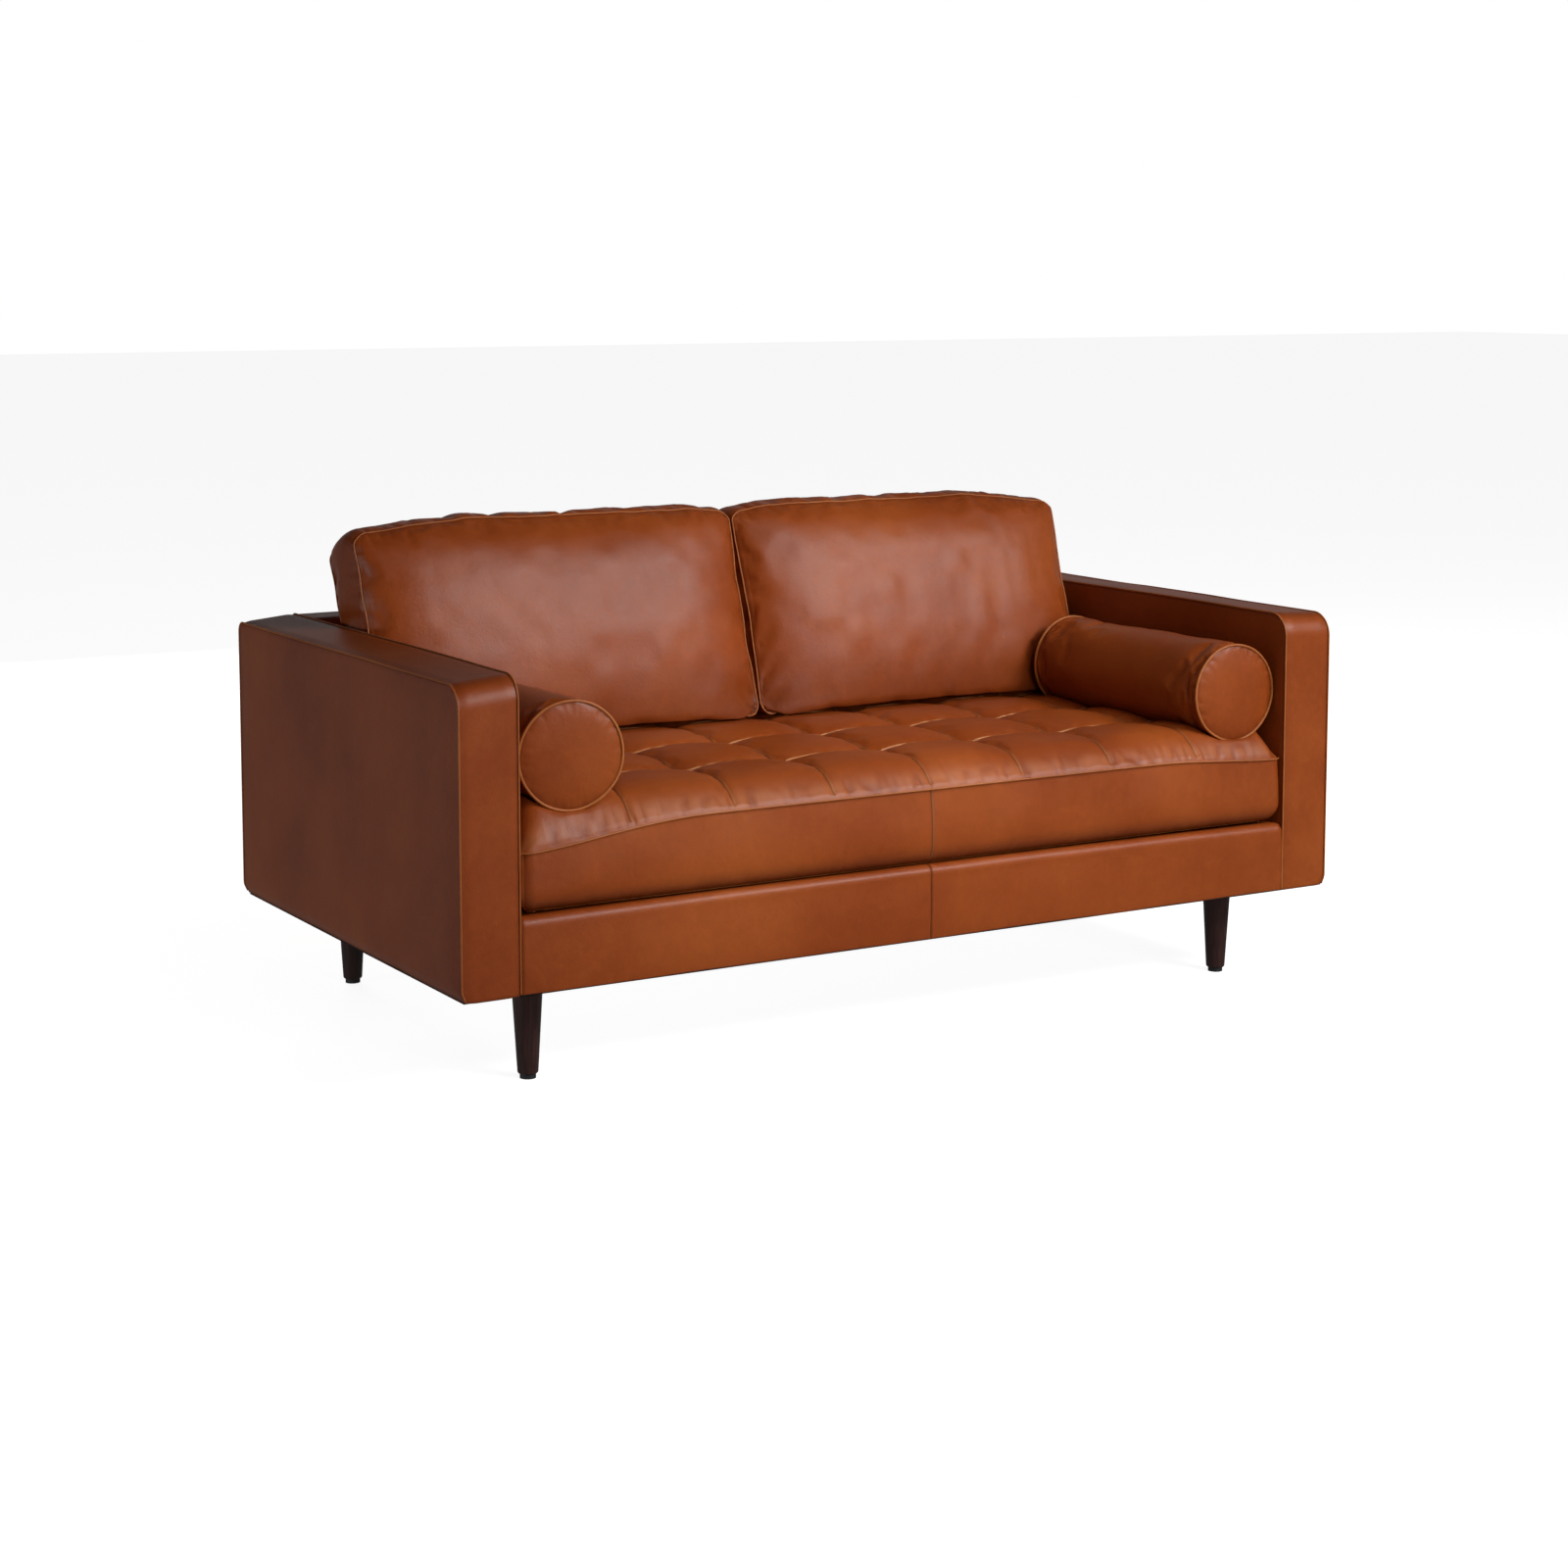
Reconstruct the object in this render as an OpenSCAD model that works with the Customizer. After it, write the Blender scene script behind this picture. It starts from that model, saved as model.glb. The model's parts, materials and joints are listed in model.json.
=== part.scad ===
// Two-seat sofa: box arms, a tufted bench cushion, two loose back cushions, two bolsters and four
// tapered wooden legs. The origin is on the floor under the middle of the sofa. +X runs along the
// seat, +Y to the back and +Z up. Left is -X, as seen by a person who stands in front of it.

/* [Overall] */
// Width over the leather of the arms
sofa_w = 1830; // [1700:10:2300]
// Depth over the leather of the arms
sofa_d = 1000; // [960:10:1060]
// Height of the arms and of the back frame
arm_h = 706; // [680:2:720]
// Height of the frame's underside above the floor
underside_z = 172; // [140:2:190]

/* [Arms, back and rail] */
// Thickness of an arm over its leather
arm_w = 108; // [100:1:130]
// Thickness of the back frame over its leather
back_t = 108; // [104:1:112]
// Height of the leather-covered front rail
rail_h = 130; // [124:1:136]
// Radius of an arm's front top corner
arm_front_r = 42; // [30:1:60]
// Radius of an arm's rear top corner and of the back frame's top edges
arm_rear_r = 18; // [14:1:24]

/* [Upholstery] */
// Thickness of the leather
leather = 1.5; // [1.2:0.1:1.8]
// Thickness of the foam wrap over the frame
padding = 10; // [8:0.5:11]
// Diameter of the piping along the arms
arm_cord_d = 4.4; // [4:0.2:5]
// Diameter of the piping on the loose cushions
cushion_cord_d = 4; // [3:0.2:5]

/* [Seat cushion] */
// Height of the seat cushion's boxed side, from seam to seam
seat_boxing_h = 139; // [130:1:142]
// Rise of the seat cushion's crown above its top seam
seat_crown_h = 50; // [44:1:52]
// Depth behind the back cushions' front foot, up to the back frame
back_cushion_room = 292; // [290:1:310]

/* [Back cushions] */
// Angle by which the back cushions lean back
back_lean = 18; // [16:0.5:19]
// Height of a back cushion's front face along its slope
back_cushion_h = 420; // [380:5:440]
// Width of the boxing between a back cushion's two seams
back_boxing_t = 120; // [110:1:124]
// Bulge of a back cushion's front face
back_front_crown = 50; // [40:1:60]
// Bulge of a back cushion's rear face
back_rear_crown = 97; // [80:1:98]

/* [Bolsters] */
// Diameter of a bolster over its leather
bolster_d = 184; // [160:2:184]
// Length of a bolster
bolster_l = 520; // [420:10:530]
// How much further from its arm the left bolster lies than the right one
left_bolster_in = 12; // [0:1:15]

/* [Legs] */
// Diameter of a leg where it meets the frame
leg_top_d = 55; // [48:1:58]
// Diameter of a leg at its foot
leg_foot_d = 36; // [30:1:40]
// Distance from the end of the sofa to a leg's axis
leg_inset_x = 173; // [170:1:180]
// Distance from the front or back of the sofa to a leg's axis
leg_inset_y = 114; // [105:1:120]

/* [Suspension] */
// Number of sinuous springs across the seat
spring_count = 10; // [6:1:12]
// Number of half loops along a spring
spring_loops = 18; // [14:2:22]

/* [Hidden] */
$fn = 48;

// Colours of the visible and the inner pieces
tan_leather = [0.60, 0.29, 0.15];
cord_leather = [0.68, 0.36, 0.20];
dark_wood = [0.17, 0.11, 0.09];
frame_wood = [0.80, 0.66, 0.46];
fibreboard = [0.55, 0.42, 0.30];
foam = [0.94, 0.90, 0.78];
black_cloth = [0.10, 0.10, 0.10];
steel = [0.62, 0.63, 0.65];

// Outer faces of the leather and of the wooden frame inside it
half_w = sofa_w / 2;
half_d = sofa_d / 2;
arm_in = half_w - arm_w;
back_in = half_d - back_t;
deck_z = underside_z + rail_h;
wrap = leather + padding;
frame_z = underside_z + leather;
turn_under = 27;
cord_inset = 1; // from a face to the axis of the cord along its edge
past = 1; // how far a cut runs past the face that it opens

// Frame timber
board_t = 3;
post_y = 40;
arm_rail_h = 30;
arm_bottom_rail_h = 90;
rail_t = 32;
seat_rail_top = deck_z - wrap;
brace_w = 40;
brace_h = 50;
block_leg = 170;
block_h = 40;

// Arm bolts, hanger bolts and glides
bolt_r = 4;
bore_r = 4.1;
arm_bolt_y = [-220, 0, 220];
arm_bolt_z = underside_z + 63;
arm_bolt_head = 6;
arm_bolt_l = 75;
arm_bolt_head_r = 8;
bolt_tip_room = 6;
leg_x = half_w - leg_inset_x;
leg_y = half_d - leg_inset_y;
glide_h = 8;
glide_r = 14;
glide_pin_r = 1.5;
glide_pin_l = 14;
leg_edge_r = 4;
leg_bolt_z = frame_z - 44;
leg_bolt_top = frame_z + block_h + 4;
tee_flange_r = 11;
tee_flange_t = 1.6;
tee_barrel_r = 5;
tee_barrel_l = 8;

// Seat deck
spring_wire = 3.6;
spring_w = 60;
clip_t = 0.7;
clip_play = 0.2;
clip_w = 16;
spring_z = seat_rail_top + clip_t;
spring_front_y = -half_d + 30;
spring_rear_y = back_in - 16;
spring_pitch = (spring_rear_y - spring_front_y) / spring_loops;
spring_reach = (spring_w - spring_pitch) / 2;
spring_rail_h = 60;
insulator_t = 4;
insulator_setback = 21;
deck_strip_y = -half_d + 100;
rail_edge_r = 12;
dust_t = 1.2;
cord_play = 0.1;
trim_x = arm_in - arm_cord_d / 2 + cord_inset - cord_play; // clear of the arms' inner piping
web_w = 60;
web_t = 1.5;
web_count = 9;

// Seat cushion
seat_gap = 3;
seat_x = arm_in - seat_gap;
seat_y0 = -half_d;
seat_y1 = back_in - 7;
seat_z0 = deck_z + 4;
seat_seam_z = seat_z0 + seat_boxing_h;
seat_top_z = seat_seam_z + seat_crown_h;
seat_corner_r = 25;
seat_crest_x = seat_x - 244;
seat_front_run = 100;
seat_front_bow = 14;
seat_rear_run = 83;
cord_r = cushion_cord_d / 2;
cord_sides = 10;

// Bolsters, which lie on a shelf that they press into the seat cushion
bolster_r = bolster_d / 2;
bolster_out_r = bolster_r - cord_inset + cord_r;
bolster_play = 5;
bolster_lift = 0.5;
shelf_z = seat_seam_z + 22;
shelf_in_x = seat_x - 179;
shelf_out_x = seat_x - 24;
bolster_x = arm_in - bolster_out_r - bolster_play;
bolster_z = shelf_z + bolster_out_r + bolster_lift;
bolster_y0 = -half_d + 30;

// Back cushions
gap_half = 3;
back_foot_y = back_in - back_cushion_room;
back_foot_z = seat_top_z + 1;
back_corner_r = 12;
back_top_crown = 10;

// Zips
zip_w = 8;
bolster_zip_t = 2;
zip_slider_l = 14;
zip_slider_t = 3.5;
seat_zip_l = 2 * seat_x - 208;
back_zip_l = seat_x - gap_half - 201;
bolster_zip_l = bolster_l - 120;

// Points on a bow from p to q that bulges by sag to the left of the way from p to q
function bow(p, q, sag, n = 12) =
    let (d = q - p, side = [-d[1], d[0]] / norm(d))
    [for (i = [0:n]) let (s = i / n) p + d * s + side * sag * 4 * s * (1 - s)];

// Extrudes a [y, z] outline along X
module along_x(x0, x1) {
    translate([x0, 0, 0]) rotate([90, 0, 90]) linear_extrude(x1 - x0) children();
}

// Extrudes an [x, z] outline along Y
module along_y(y0, y1) {
    translate([0, y1, 0]) rotate([90, 0, 0]) linear_extrude(y1 - y0) children();
}

// Box between two corners
module block(a, b) {
    translate(a) cube(b - a);
}

// Puts the children, made on the +X side, on the left (-1) or the right (1)
module on_side(side) {
    mirror([side < 0 ? 1 : 0, 0, 0]) children();
}

module rounded_rect(a, b, r) {
    translate([a[0] + r, a[1]]) square([b[0] - a[0] - 2 * r, b[1] - a[1]]);
    translate([a[0], a[1] + r]) square([b[0] - a[0], b[1] - a[1] - 2 * r]);
    for (x = [a[0] + r, b[0] - r], y = [a[1] + r, b[1] - r]) translate([x, y]) circle(r);
}

// Outline with a flat foot and two rounded top corners
module round_top(y0, y1, z0, z1, r0, r1) {
    translate([y0, z0]) square([r0, z1 - r0 - z0]);
    translate([y0 + r0, z0]) square([y1 - r1 - y0 - r0, z1 - z0]);
    translate([y1 - r1, z0]) square([r1, z1 - r1 - z0]);
    translate([y0 + r0, z1 - r0]) circle(r0);
    translate([y1 - r1, z1 - r1]) circle(r1);
}

// Quarter of a ring of cord, from the X axis to the Y axis
module cord_corner(r, cord) {
    rotate_extrude(angle = 90) translate([r, 0]) circle(cord);
}

// Closed loop of cord round a rectangle with rounded corners, in the XY plane
module cord_loop(a, b, r, cord) {
    size = b - a;
    for (y = [a[1], b[1]])
        translate([a[0] + r, y, 0]) rotate([0, 90, 0]) cylinder(h = size[0] - 2 * r, r = cord);
    for (x = [a[0], b[0]])
        translate([x, a[1] + r, 0]) rotate([-90, 0, 0]) cylinder(h = size[1] - 2 * r, r = cord);
    translate([b[0] - r, b[1] - r, 0]) cord_corner(r, cord);
    translate([a[0] + r, b[1] - r, 0]) rotate([0, 0, 90]) cord_corner(r, cord);
    translate([a[0] + r, a[1] + r, 0]) rotate([0, 0, 180]) cord_corner(r, cord);
    translate([b[0] - r, a[1] + r, 0]) rotate([0, 0, 270]) cord_corner(r, cord);
}

// Section of a cord with flat sides, where it turns round a corner at an angle
function cord_section(corner, r, cord, angle) =
    [for (i = [0:cord_sides - 1])
        let (b = 360 * i / cord_sides, out = r + cord * cos(b))
        [corner[0] + out * cos(angle), corner[1] + out * sin(angle), cord * sin(b)]];

// The same loop as cord_loop, made with flat sides for a frame that leans
module flat_cord_loop(a, b, r, cord) {
    corners = [[b[0] - r, b[1] - r], [a[0] + r, b[1] - r], [a[0] + r, a[1] + r],
               [b[0] - r, a[1] + r]];
    sections = [for (k = [0:3], turn = [0:30:90])
        cord_section(corners[k], r, cord, 90 * k + turn)];
    count = len(sections);
    polyhedron(
        [for (section = sections, point = section) point],
        [for (i = [0:count - 1], j = [0:cord_sides - 1])
            let (i2 = (i + 1) % count, j2 = (j + 1) % cord_sides)
            [i * cord_sides + j, i * cord_sides + j2, i2 * cord_sides + j2, i2 * cord_sides + j]]);
}

// ---- Arms ----

// Side view of an arm, shrunk by inset on its outer edges
module arm_outline(inset, z0 = frame_z) {
    round_top(-half_d + inset, half_d - inset, z0, arm_h - inset,
              arm_front_r - inset, arm_rear_r - inset);
}

// Solid of the arm between two insets from its faces
module arm_solid(inset, z0 = frame_z) {
    along_x(arm_in + inset, half_w - inset) arm_outline(inset, z0);
}

// Piping of one arm, along both edges of the strip that covers its front, top and rear
module arm_cords() {
    cord = arm_cord_d / 2;
    front_r = arm_front_r - cord_inset;
    rear_r = arm_rear_r - cord_inset;
    front_y = -half_d + cord_inset;
    rear_y = half_d - cord_inset;
    top_z = arm_h - cord_inset;
    for (x = [arm_in + cord_inset, half_w - cord_inset]) translate([x, 0, 0]) {
        translate([0, front_y, underside_z]) cylinder(h = top_z - front_r - underside_z, r = cord);
        translate([0, rear_y, underside_z]) cylinder(h = top_z - rear_r - underside_z, r = cord);
        translate([0, front_y + front_r, top_z]) rotate([-90, 0, 0])
            cylinder(h = rear_y - rear_r - front_y - front_r, r = cord);
        translate([0, front_y + front_r, top_z - front_r]) rotate([90, 0, 90])
            rotate([0, 0, 90]) cord_corner(front_r, cord);
        translate([0, rear_y - rear_r, top_z - rear_r]) rotate([90, 0, 90])
            cord_corner(rear_r, cord);
    }
}

// Holes or bolts that join an arm to the seat frame, from x0 to x1
module arm_bolt_rods(x0, x1, r) {
    for (y = arm_bolt_y)
        translate([x0, y, arm_bolt_z]) rotate([0, 90, 0]) cylinder(h = x1 - x0, r = r);
}

module arm_bores() {
    x0 = arm_in - rail_t;
    arm_bolt_rods(x0 - past, x0 - arm_bolt_head + arm_bolt_l + bolt_tip_room, bore_r);
}

module arm_cover(side) {
    color(tan_leather) on_side(side) difference() {
        arm_solid(0, underside_z);
        arm_solid(leather);
        block([arm_in + turn_under, -half_d + turn_under, underside_z - past],
              [half_w - turn_under, half_d - turn_under, frame_z + past]);
        arm_cords();
        arm_bores();
    }
}

module arm_piping(side) {
    color(cord_leather) on_side(side) arm_cords();
}

module arm_padding(side) {
    color(foam) on_side(side) difference() {
        arm_solid(leather);
        arm_solid(wrap, frame_z - past);
        arm_cords();
        arm_bores();
    }
}

// Inner and outer fibreboard of an arm
module arm_panels(side) {
    color(fibreboard) on_side(side) difference() {
        union() {
            along_x(arm_in + wrap, arm_in + wrap + board_t) arm_outline(wrap);
            along_x(half_w - wrap - board_t, half_w - wrap) arm_outline(wrap);
        }
        arm_bores();
    }
}

// Space for an arm's timber, between its two panels
module arm_core() {
    along_x(arm_in + wrap + board_t, half_w - wrap - board_t) arm_outline(wrap);
}

module arm_posts(side) {
    post_ends = [-half_d + wrap, -post_y / 2, half_d - wrap - post_y];
    heights = [arm_h, arm_h - wrap - arm_rail_h, arm_h];
    feet = [frame_z, frame_z + arm_bottom_rail_h, frame_z];
    color(frame_wood) on_side(side) intersection() {
        arm_core();
        for (i = [0:2])
            block([arm_in, post_ends[i], feet[i]], [half_w, post_ends[i] + post_y, heights[i]]);
    }
}

module arm_rails(side) {
    y1 = half_d - wrap - post_y;
    color(frame_wood) on_side(side) difference() {
        intersection() {
            arm_core();
            union() {
                block([arm_in, -y1, arm_h - wrap - arm_rail_h], [half_w, y1, arm_h]);
                block([arm_in, -y1, frame_z], [half_w, y1, frame_z + arm_bottom_rail_h]);
            }
        }
        arm_bores();
    }
}

module arm_bolts() {
    head_x = arm_in - rail_t - arm_bolt_head;
    color(steel) for (side = [-1, 1]) on_side(side) {
        arm_bolt_rods(head_x, head_x + arm_bolt_l, bolt_r);
        arm_bolt_rods(head_x, head_x + arm_bolt_head, arm_bolt_head_r);
    }
}

// ---- Seat frame ----

module front_rail() {
    color(frame_wood)
        block([-arm_in, -half_d + wrap, frame_z], [arm_in, -half_d + wrap + rail_t, seat_rail_top]);
}

module rear_rail() {
    color(frame_wood)
        block([-arm_in, half_d - wrap - rail_t, frame_z], [arm_in, half_d - wrap, seat_rail_top]);
}

module seat_side_rails() {
    y1 = half_d - wrap - rail_t;
    color(frame_wood) for (side = [-1, 1]) on_side(side) difference() {
        block([arm_in - rail_t, -y1, frame_z], [arm_in, y1, seat_rail_top]);
        arm_bores();
    }
}

module spring_rail() {
    x1 = arm_in - rail_t;
    color(frame_wood)
        block([-x1, back_in - rail_t, seat_rail_top - spring_rail_h], [x1, back_in, seat_rail_top]);
}

module centre_brace() {
    y1 = half_d - wrap - rail_t;
    color(frame_wood)
        block([-brace_w / 2, -y1, frame_z], [brace_w / 2, y1, frame_z + brace_h]);
}

// Repeats the children at the four legs
module at_legs() {
    for (x = [-leg_x, leg_x], y = [-leg_y, leg_y]) translate([x, y, 0]) children();
}

module corner_blocks() {
    x = arm_in - rail_t;
    y = half_d - wrap - rail_t;
    color(frame_wood) difference() {
        for (sx = [-1, 1], sy = [-1, 1]) translate([0, 0, frame_z]) linear_extrude(block_h)
            polygon([[sx * x, sy * y], [sx * (x - block_leg), sy * y], [sx * x, sy * (y - block_leg)]]);
        at_legs() {
            translate([0, 0, frame_z - past]) cylinder(h = block_h + 2 * past, r = bore_r);
            translate([0, 0, frame_z + block_h - tee_barrel_l])
                cylinder(h = tee_barrel_l + past, r = tee_barrel_r);
        }
    }
}

// ---- Suspension and deck ----

// One edge of a sinuous spring's half loops, off to one side of the wire's centre line
function spring_edge(off) =
    [for (i = [0:spring_loops - 1], a = [-90:45:90])
        let (side = i % 2 == 0 ? 1 : -1, r = spring_pitch / 2 + side * off)
        [side * (spring_reach + r * cos(a)), spring_front_y + spring_pitch * (i + 0.5) + r * sin(a)]];

// Flat sinuous spring with an even number of half loops
module one_spring() {
    half = spring_wire / 2;
    far_edge = spring_edge(-half);
    linear_extrude(spring_wire) polygon(concat(
        [[-spring_reach, spring_front_y - half]], spring_edge(half),
        [[spring_reach, spring_rear_y - half], [spring_reach, spring_rear_y + half]],
        [for (i = [len(far_edge) - 1:-1:0]) far_edge[i]],
        [[-spring_reach, spring_front_y + half]]));
}

// Distance along X from the middle to spring or strap number i of n
function spaced(i, n, width) = (i + 0.5 - n / 2) * width / n;

module seat_springs() {
    color(steel) for (i = [0:spring_count - 1])
        translate([spaced(i, spring_count, 2 * (arm_in - rail_t)), 0, spring_z]) one_spring();
}

// Clip that holds the end wire of a spring, open towards +Y
module spring_clip() {
    near = -spring_wire / 2 - clip_play;
    wire_top = clip_t + spring_wire + clip_play;
    back = near - 3 * clip_t;
    translate([-clip_w / 2, 0, 0]) along_x(0, clip_w)
        polygon([[back, 0], [6, 0], [6, clip_t], [near, clip_t], [near, wire_top],
                 [3, wire_top], [3, wire_top + clip_t], [back, wire_top + clip_t]]);
}

module spring_clips() {
    color(steel) for (i = [0:spring_count - 1])
        translate([spaced(i, spring_count, 2 * (arm_in - rail_t)), 0, seat_rail_top]) {
            translate([0, spring_front_y, 0]) spring_clip();
            translate([0, spring_rear_y, 0]) mirror([0, 1, 0]) spring_clip();
        }
}

module spring_insulator() {
    color(foam) block([-arm_in, -half_d + insulator_setback, deck_z - leather - insulator_t],
                      [arm_in, back_in, deck_z - leather]);
}

module deck_cover() {
    color(black_cloth)
        block([-arm_in, deck_strip_y, deck_z - leather], [arm_in, back_in, deck_z]);
}

// Side view of the front rail's covering, shrunk by inset, from z0 up and back to y1
module rail_outline(inset, y1, z0) {
    r = rail_edge_r - inset;
    y0 = -half_d + inset;
    z1 = deck_z - inset;
    translate([y0, z0]) square([r, z1 - r - z0]);
    translate([y0 + r, z0]) square([y1 - y0 - r, z1 - z0]);
    translate([y0 + r, z1 - r]) circle(r);
}

module front_rail_padding() {
    y0 = -half_d + wrap;
    y1 = -half_d + insulator_setback - past;
    color(foam) along_x(-trim_x, trim_x) difference() {
        rail_outline(leather, y1, frame_z);
        translate([y0, frame_z - past]) square([sofa_d, seat_rail_top - frame_z + past]);
    }
}

module front_rail_cover() {
    color(tan_leather) along_x(-trim_x, trim_x) {
        difference() {
            rail_outline(0, deck_strip_y, frame_z);
            rail_outline(leather, deck_strip_y + past, frame_z - past);
        }
        translate([-half_d, underside_z]) square([turn_under, leather]);
    }
}

module dust_cover() {
    edge = 8;
    color(black_cloth) difference() {
        block([-half_w + edge, -half_d + edge, underside_z - dust_t],
              [half_w - edge, half_d - edge, underside_z]);
        at_legs() translate([0, 0, underside_z - dust_t - past])
            cylinder(h = dust_t + 2 * past, r = leg_top_d / 2 + 2);
    }
}

// ---- Back frame ----

// Side view of the back frame, shrunk by inset, down to z0
module back_outline(inset, z0) {
    r = arm_rear_r - inset;
    round_top(back_in + inset, half_d - inset, z0, arm_h - inset, r, r);
}

// Back frame's timber stands between the strapping and the rear board
back_wood_y0 = back_in + wrap + 2.5;
back_wood_y1 = half_d - wrap - board_t;

module back_wood(x0, x1, z0, z1) {
    intersection() {
        block([x0, back_wood_y0, z0], [x1, back_wood_y1, z1]);
        along_x(x0, x1) back_outline(wrap, z0);
    }
}

module back_rails() {
    top = arm_h - wrap;
    color(frame_wood) {
        back_wood(-arm_in, arm_in, top - arm_rail_h, top);
        back_wood(-arm_in, arm_in, seat_rail_top, seat_rail_top + arm_rail_h);
    }
}

module back_posts() {
    color(frame_wood) for (i = [-1.5:1:1.5]) {
        x = i * 2 * (arm_in - post_y / 2) / 3;
        back_wood(x - post_y / 2, x + post_y / 2, seat_rail_top + arm_rail_h,
                  arm_h - wrap - arm_rail_h);
    }
}

module back_board() {
    color(fibreboard) intersection() {
        block([-arm_in, back_wood_y1, seat_rail_top], [arm_in, half_d - wrap, arm_h]);
        along_x(-arm_in, arm_in) back_outline(wrap, frame_z);
    }
}

module back_webbing() {
    y0 = back_wood_y0 - web_t;
    color(black_cloth) for (i = [0:web_count - 1]) {
        x = spaced(i, web_count, 2 * arm_in - 2 * post_y);
        block([x - web_w / 2, y0, seat_rail_top + 5], [x + web_w / 2, back_wood_y0, arm_h - wrap - 9]);
    }
}

module back_padding() {
    color(foam) along_x(-trim_x, trim_x) difference() {
        back_outline(leather, frame_z);
        back_outline(wrap, frame_z - past);
        translate([back_in, 0]) square([wrap + 2 * past, seat_rail_top]);
    }
}

module back_cover() {
    color(tan_leather) along_x(-trim_x, trim_x) {
        difference() {
            back_outline(0, frame_z);
            back_outline(leather, frame_z - past);
            translate([back_in - past, 0]) square([leather + 2 * past, seat_rail_top]);
        }
        translate([half_d - turn_under, underside_z]) square([turn_under, leather]);
    }
}

// ---- Seat cushion ----

// Side view of the seat cushion, shrunk by k
function seat_side(k) = concat(
    [[seat_y0 + k, seat_z0 + k]],
    bow([seat_y0 + k, seat_seam_z - k], [seat_y0 + seat_front_run, seat_top_z - k], seat_front_bow),
    [[seat_y1 - seat_rear_run, seat_top_z - k], [seat_y1 - k, seat_seam_z - k],
     [seat_y1 - k, seat_z0 + k]]);

// Right half of the seat cushion's front view, with the shelf under the bolster
function seat_end(k) = [
    [seat_crest_x, seat_top_z - k], [shelf_in_x, shelf_z - k], [shelf_out_x, shelf_z - k],
    [seat_x - k, seat_seam_z - k], [seat_x - k, seat_z0 + k]];

module seat_solid(k) {
    half = seat_end(k);
    intersection() {
        along_x(-seat_x, seat_x) polygon(seat_side(k));
        along_y(seat_y0, seat_y1) polygon(concat(
            half, [for (i = [len(half) - 1:-1:0]) [-half[i][0], half[i][1]]]));
        translate([0, 0, seat_z0]) linear_extrude(seat_top_z - seat_z0)
            rounded_rect([-seat_x + k, seat_y0 + k], [seat_x - k, seat_y1 - k], seat_corner_r - k);
    }
}

module seat_cords() {
    a = [-seat_x + cord_inset, seat_y0 + cord_inset];
    b = [seat_x - cord_inset, seat_y1 - cord_inset];
    for (z = [seat_z0 + cord_inset, seat_seam_z])
        translate([0, 0, z]) cord_loop(a, b, seat_corner_r - cord_inset, cord_r);
}

// Zip in the rear boxing: a chain in the leather and a slider parked at its end
module seat_zip() {
    z = (seat_z0 + seat_seam_z) / 2;
    block([-seat_zip_l / 2, seat_y1 - leather, z - zip_w / 2],
          [seat_zip_l / 2, seat_y1, z + zip_w / 2]);
    block([seat_zip_l / 2 - zip_slider_l, seat_y1 - zip_slider_t, z - zip_w / 2],
          [seat_zip_l / 2, seat_y1, z + zip_w / 2]);
}

module seat_cushion_cover() {
    color(tan_leather) difference() {
        seat_solid(0);
        seat_solid(leather);
        seat_cords();
        seat_zip();
    }
}

module seat_cushion_core() {
    color(foam) difference() {
        seat_solid(leather);
        seat_cords();
        seat_zip();
    }
}

module seat_cushion_piping() {
    color(cord_leather) seat_cords();
}

module seat_cushion_zip() {
    color(steel) seat_zip();
}

// ---- Back cushions ----

// Rise of the flat foot between the front and the rear seam, measured along the slope
function foot_rise(t) = t * tan(back_lean);

// Side view of a back cushion in its own frame: [thickness to the rear, height along the slope]
function back_side(k) =
    let (t1 = back_boxing_t - k, w0 = k / cos(back_lean), w1 = back_cushion_h - k)
    concat(bow([k, foot_rise(k) + w0], [k, w1], back_front_crown),
           bow([k, w1], [t1, w1], back_top_crown, 6),
           bow([t1, w1], [t1, foot_rise(t1) + w0], back_rear_crown));

// Places a back cushion's own frame, with the thickness along +Y and the slope along +Z
module lean_back() {
    translate([0, back_foot_y, back_foot_z]) rotate([-back_lean, 0, 0]) children();
}

module back_solid(k) {
    lean_back() along_x(gap_half + k, seat_x - k) polygon(back_side(k));
}

module back_cords() {
    x0 = gap_half + cord_inset;
    x1 = seat_x - cord_inset;
    top = back_cushion_h - cord_inset;
    for (t = [cord_inset, back_boxing_t - cord_inset])
        lean_back() translate([0, t, 0]) rotate([90, 0, 0])
            flat_cord_loop([x0, foot_rise(t) + cord_inset + cord_r], [x1, top],
                           back_corner_r, cord_r);
}

// Zip in the foot of the cushion
module back_zip() {
    x = (gap_half + seat_x) / 2;
    y = back_foot_y + back_boxing_t / 2;
    block([x - back_zip_l / 2, y - zip_w / 2, back_foot_z],
          [x + back_zip_l / 2, y + zip_w / 2, back_foot_z + leather]);
    block([x + back_zip_l / 2 - zip_slider_l, y - zip_w / 2, back_foot_z],
          [x + back_zip_l / 2, y + zip_w / 2, back_foot_z + zip_slider_t]);
}

module back_cushion_cover(side) {
    color(tan_leather) on_side(side) difference() {
        back_solid(0);
        back_solid(leather);
        back_cords();
        back_zip();
    }
}

module back_cushion_fill(side) {
    color(foam) on_side(side) difference() {
        back_solid(leather);
        back_cords();
        back_zip();
    }
}

module back_cushion_piping(side) {
    color(cord_leather) on_side(side) back_cords();
}

module back_cushion_zip(side) {
    color(steel) on_side(side) back_zip();
}

// ---- Bolsters ----

// Cylinder on a bolster's axis, shrunk by k
module bolster_solid(k) {
    translate([bolster_x, bolster_y0 + k, bolster_z]) rotate([-90, 0, 0])
        cylinder(h = bolster_l - 2 * k, r = bolster_r - k, $fn = 240);
}

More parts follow.
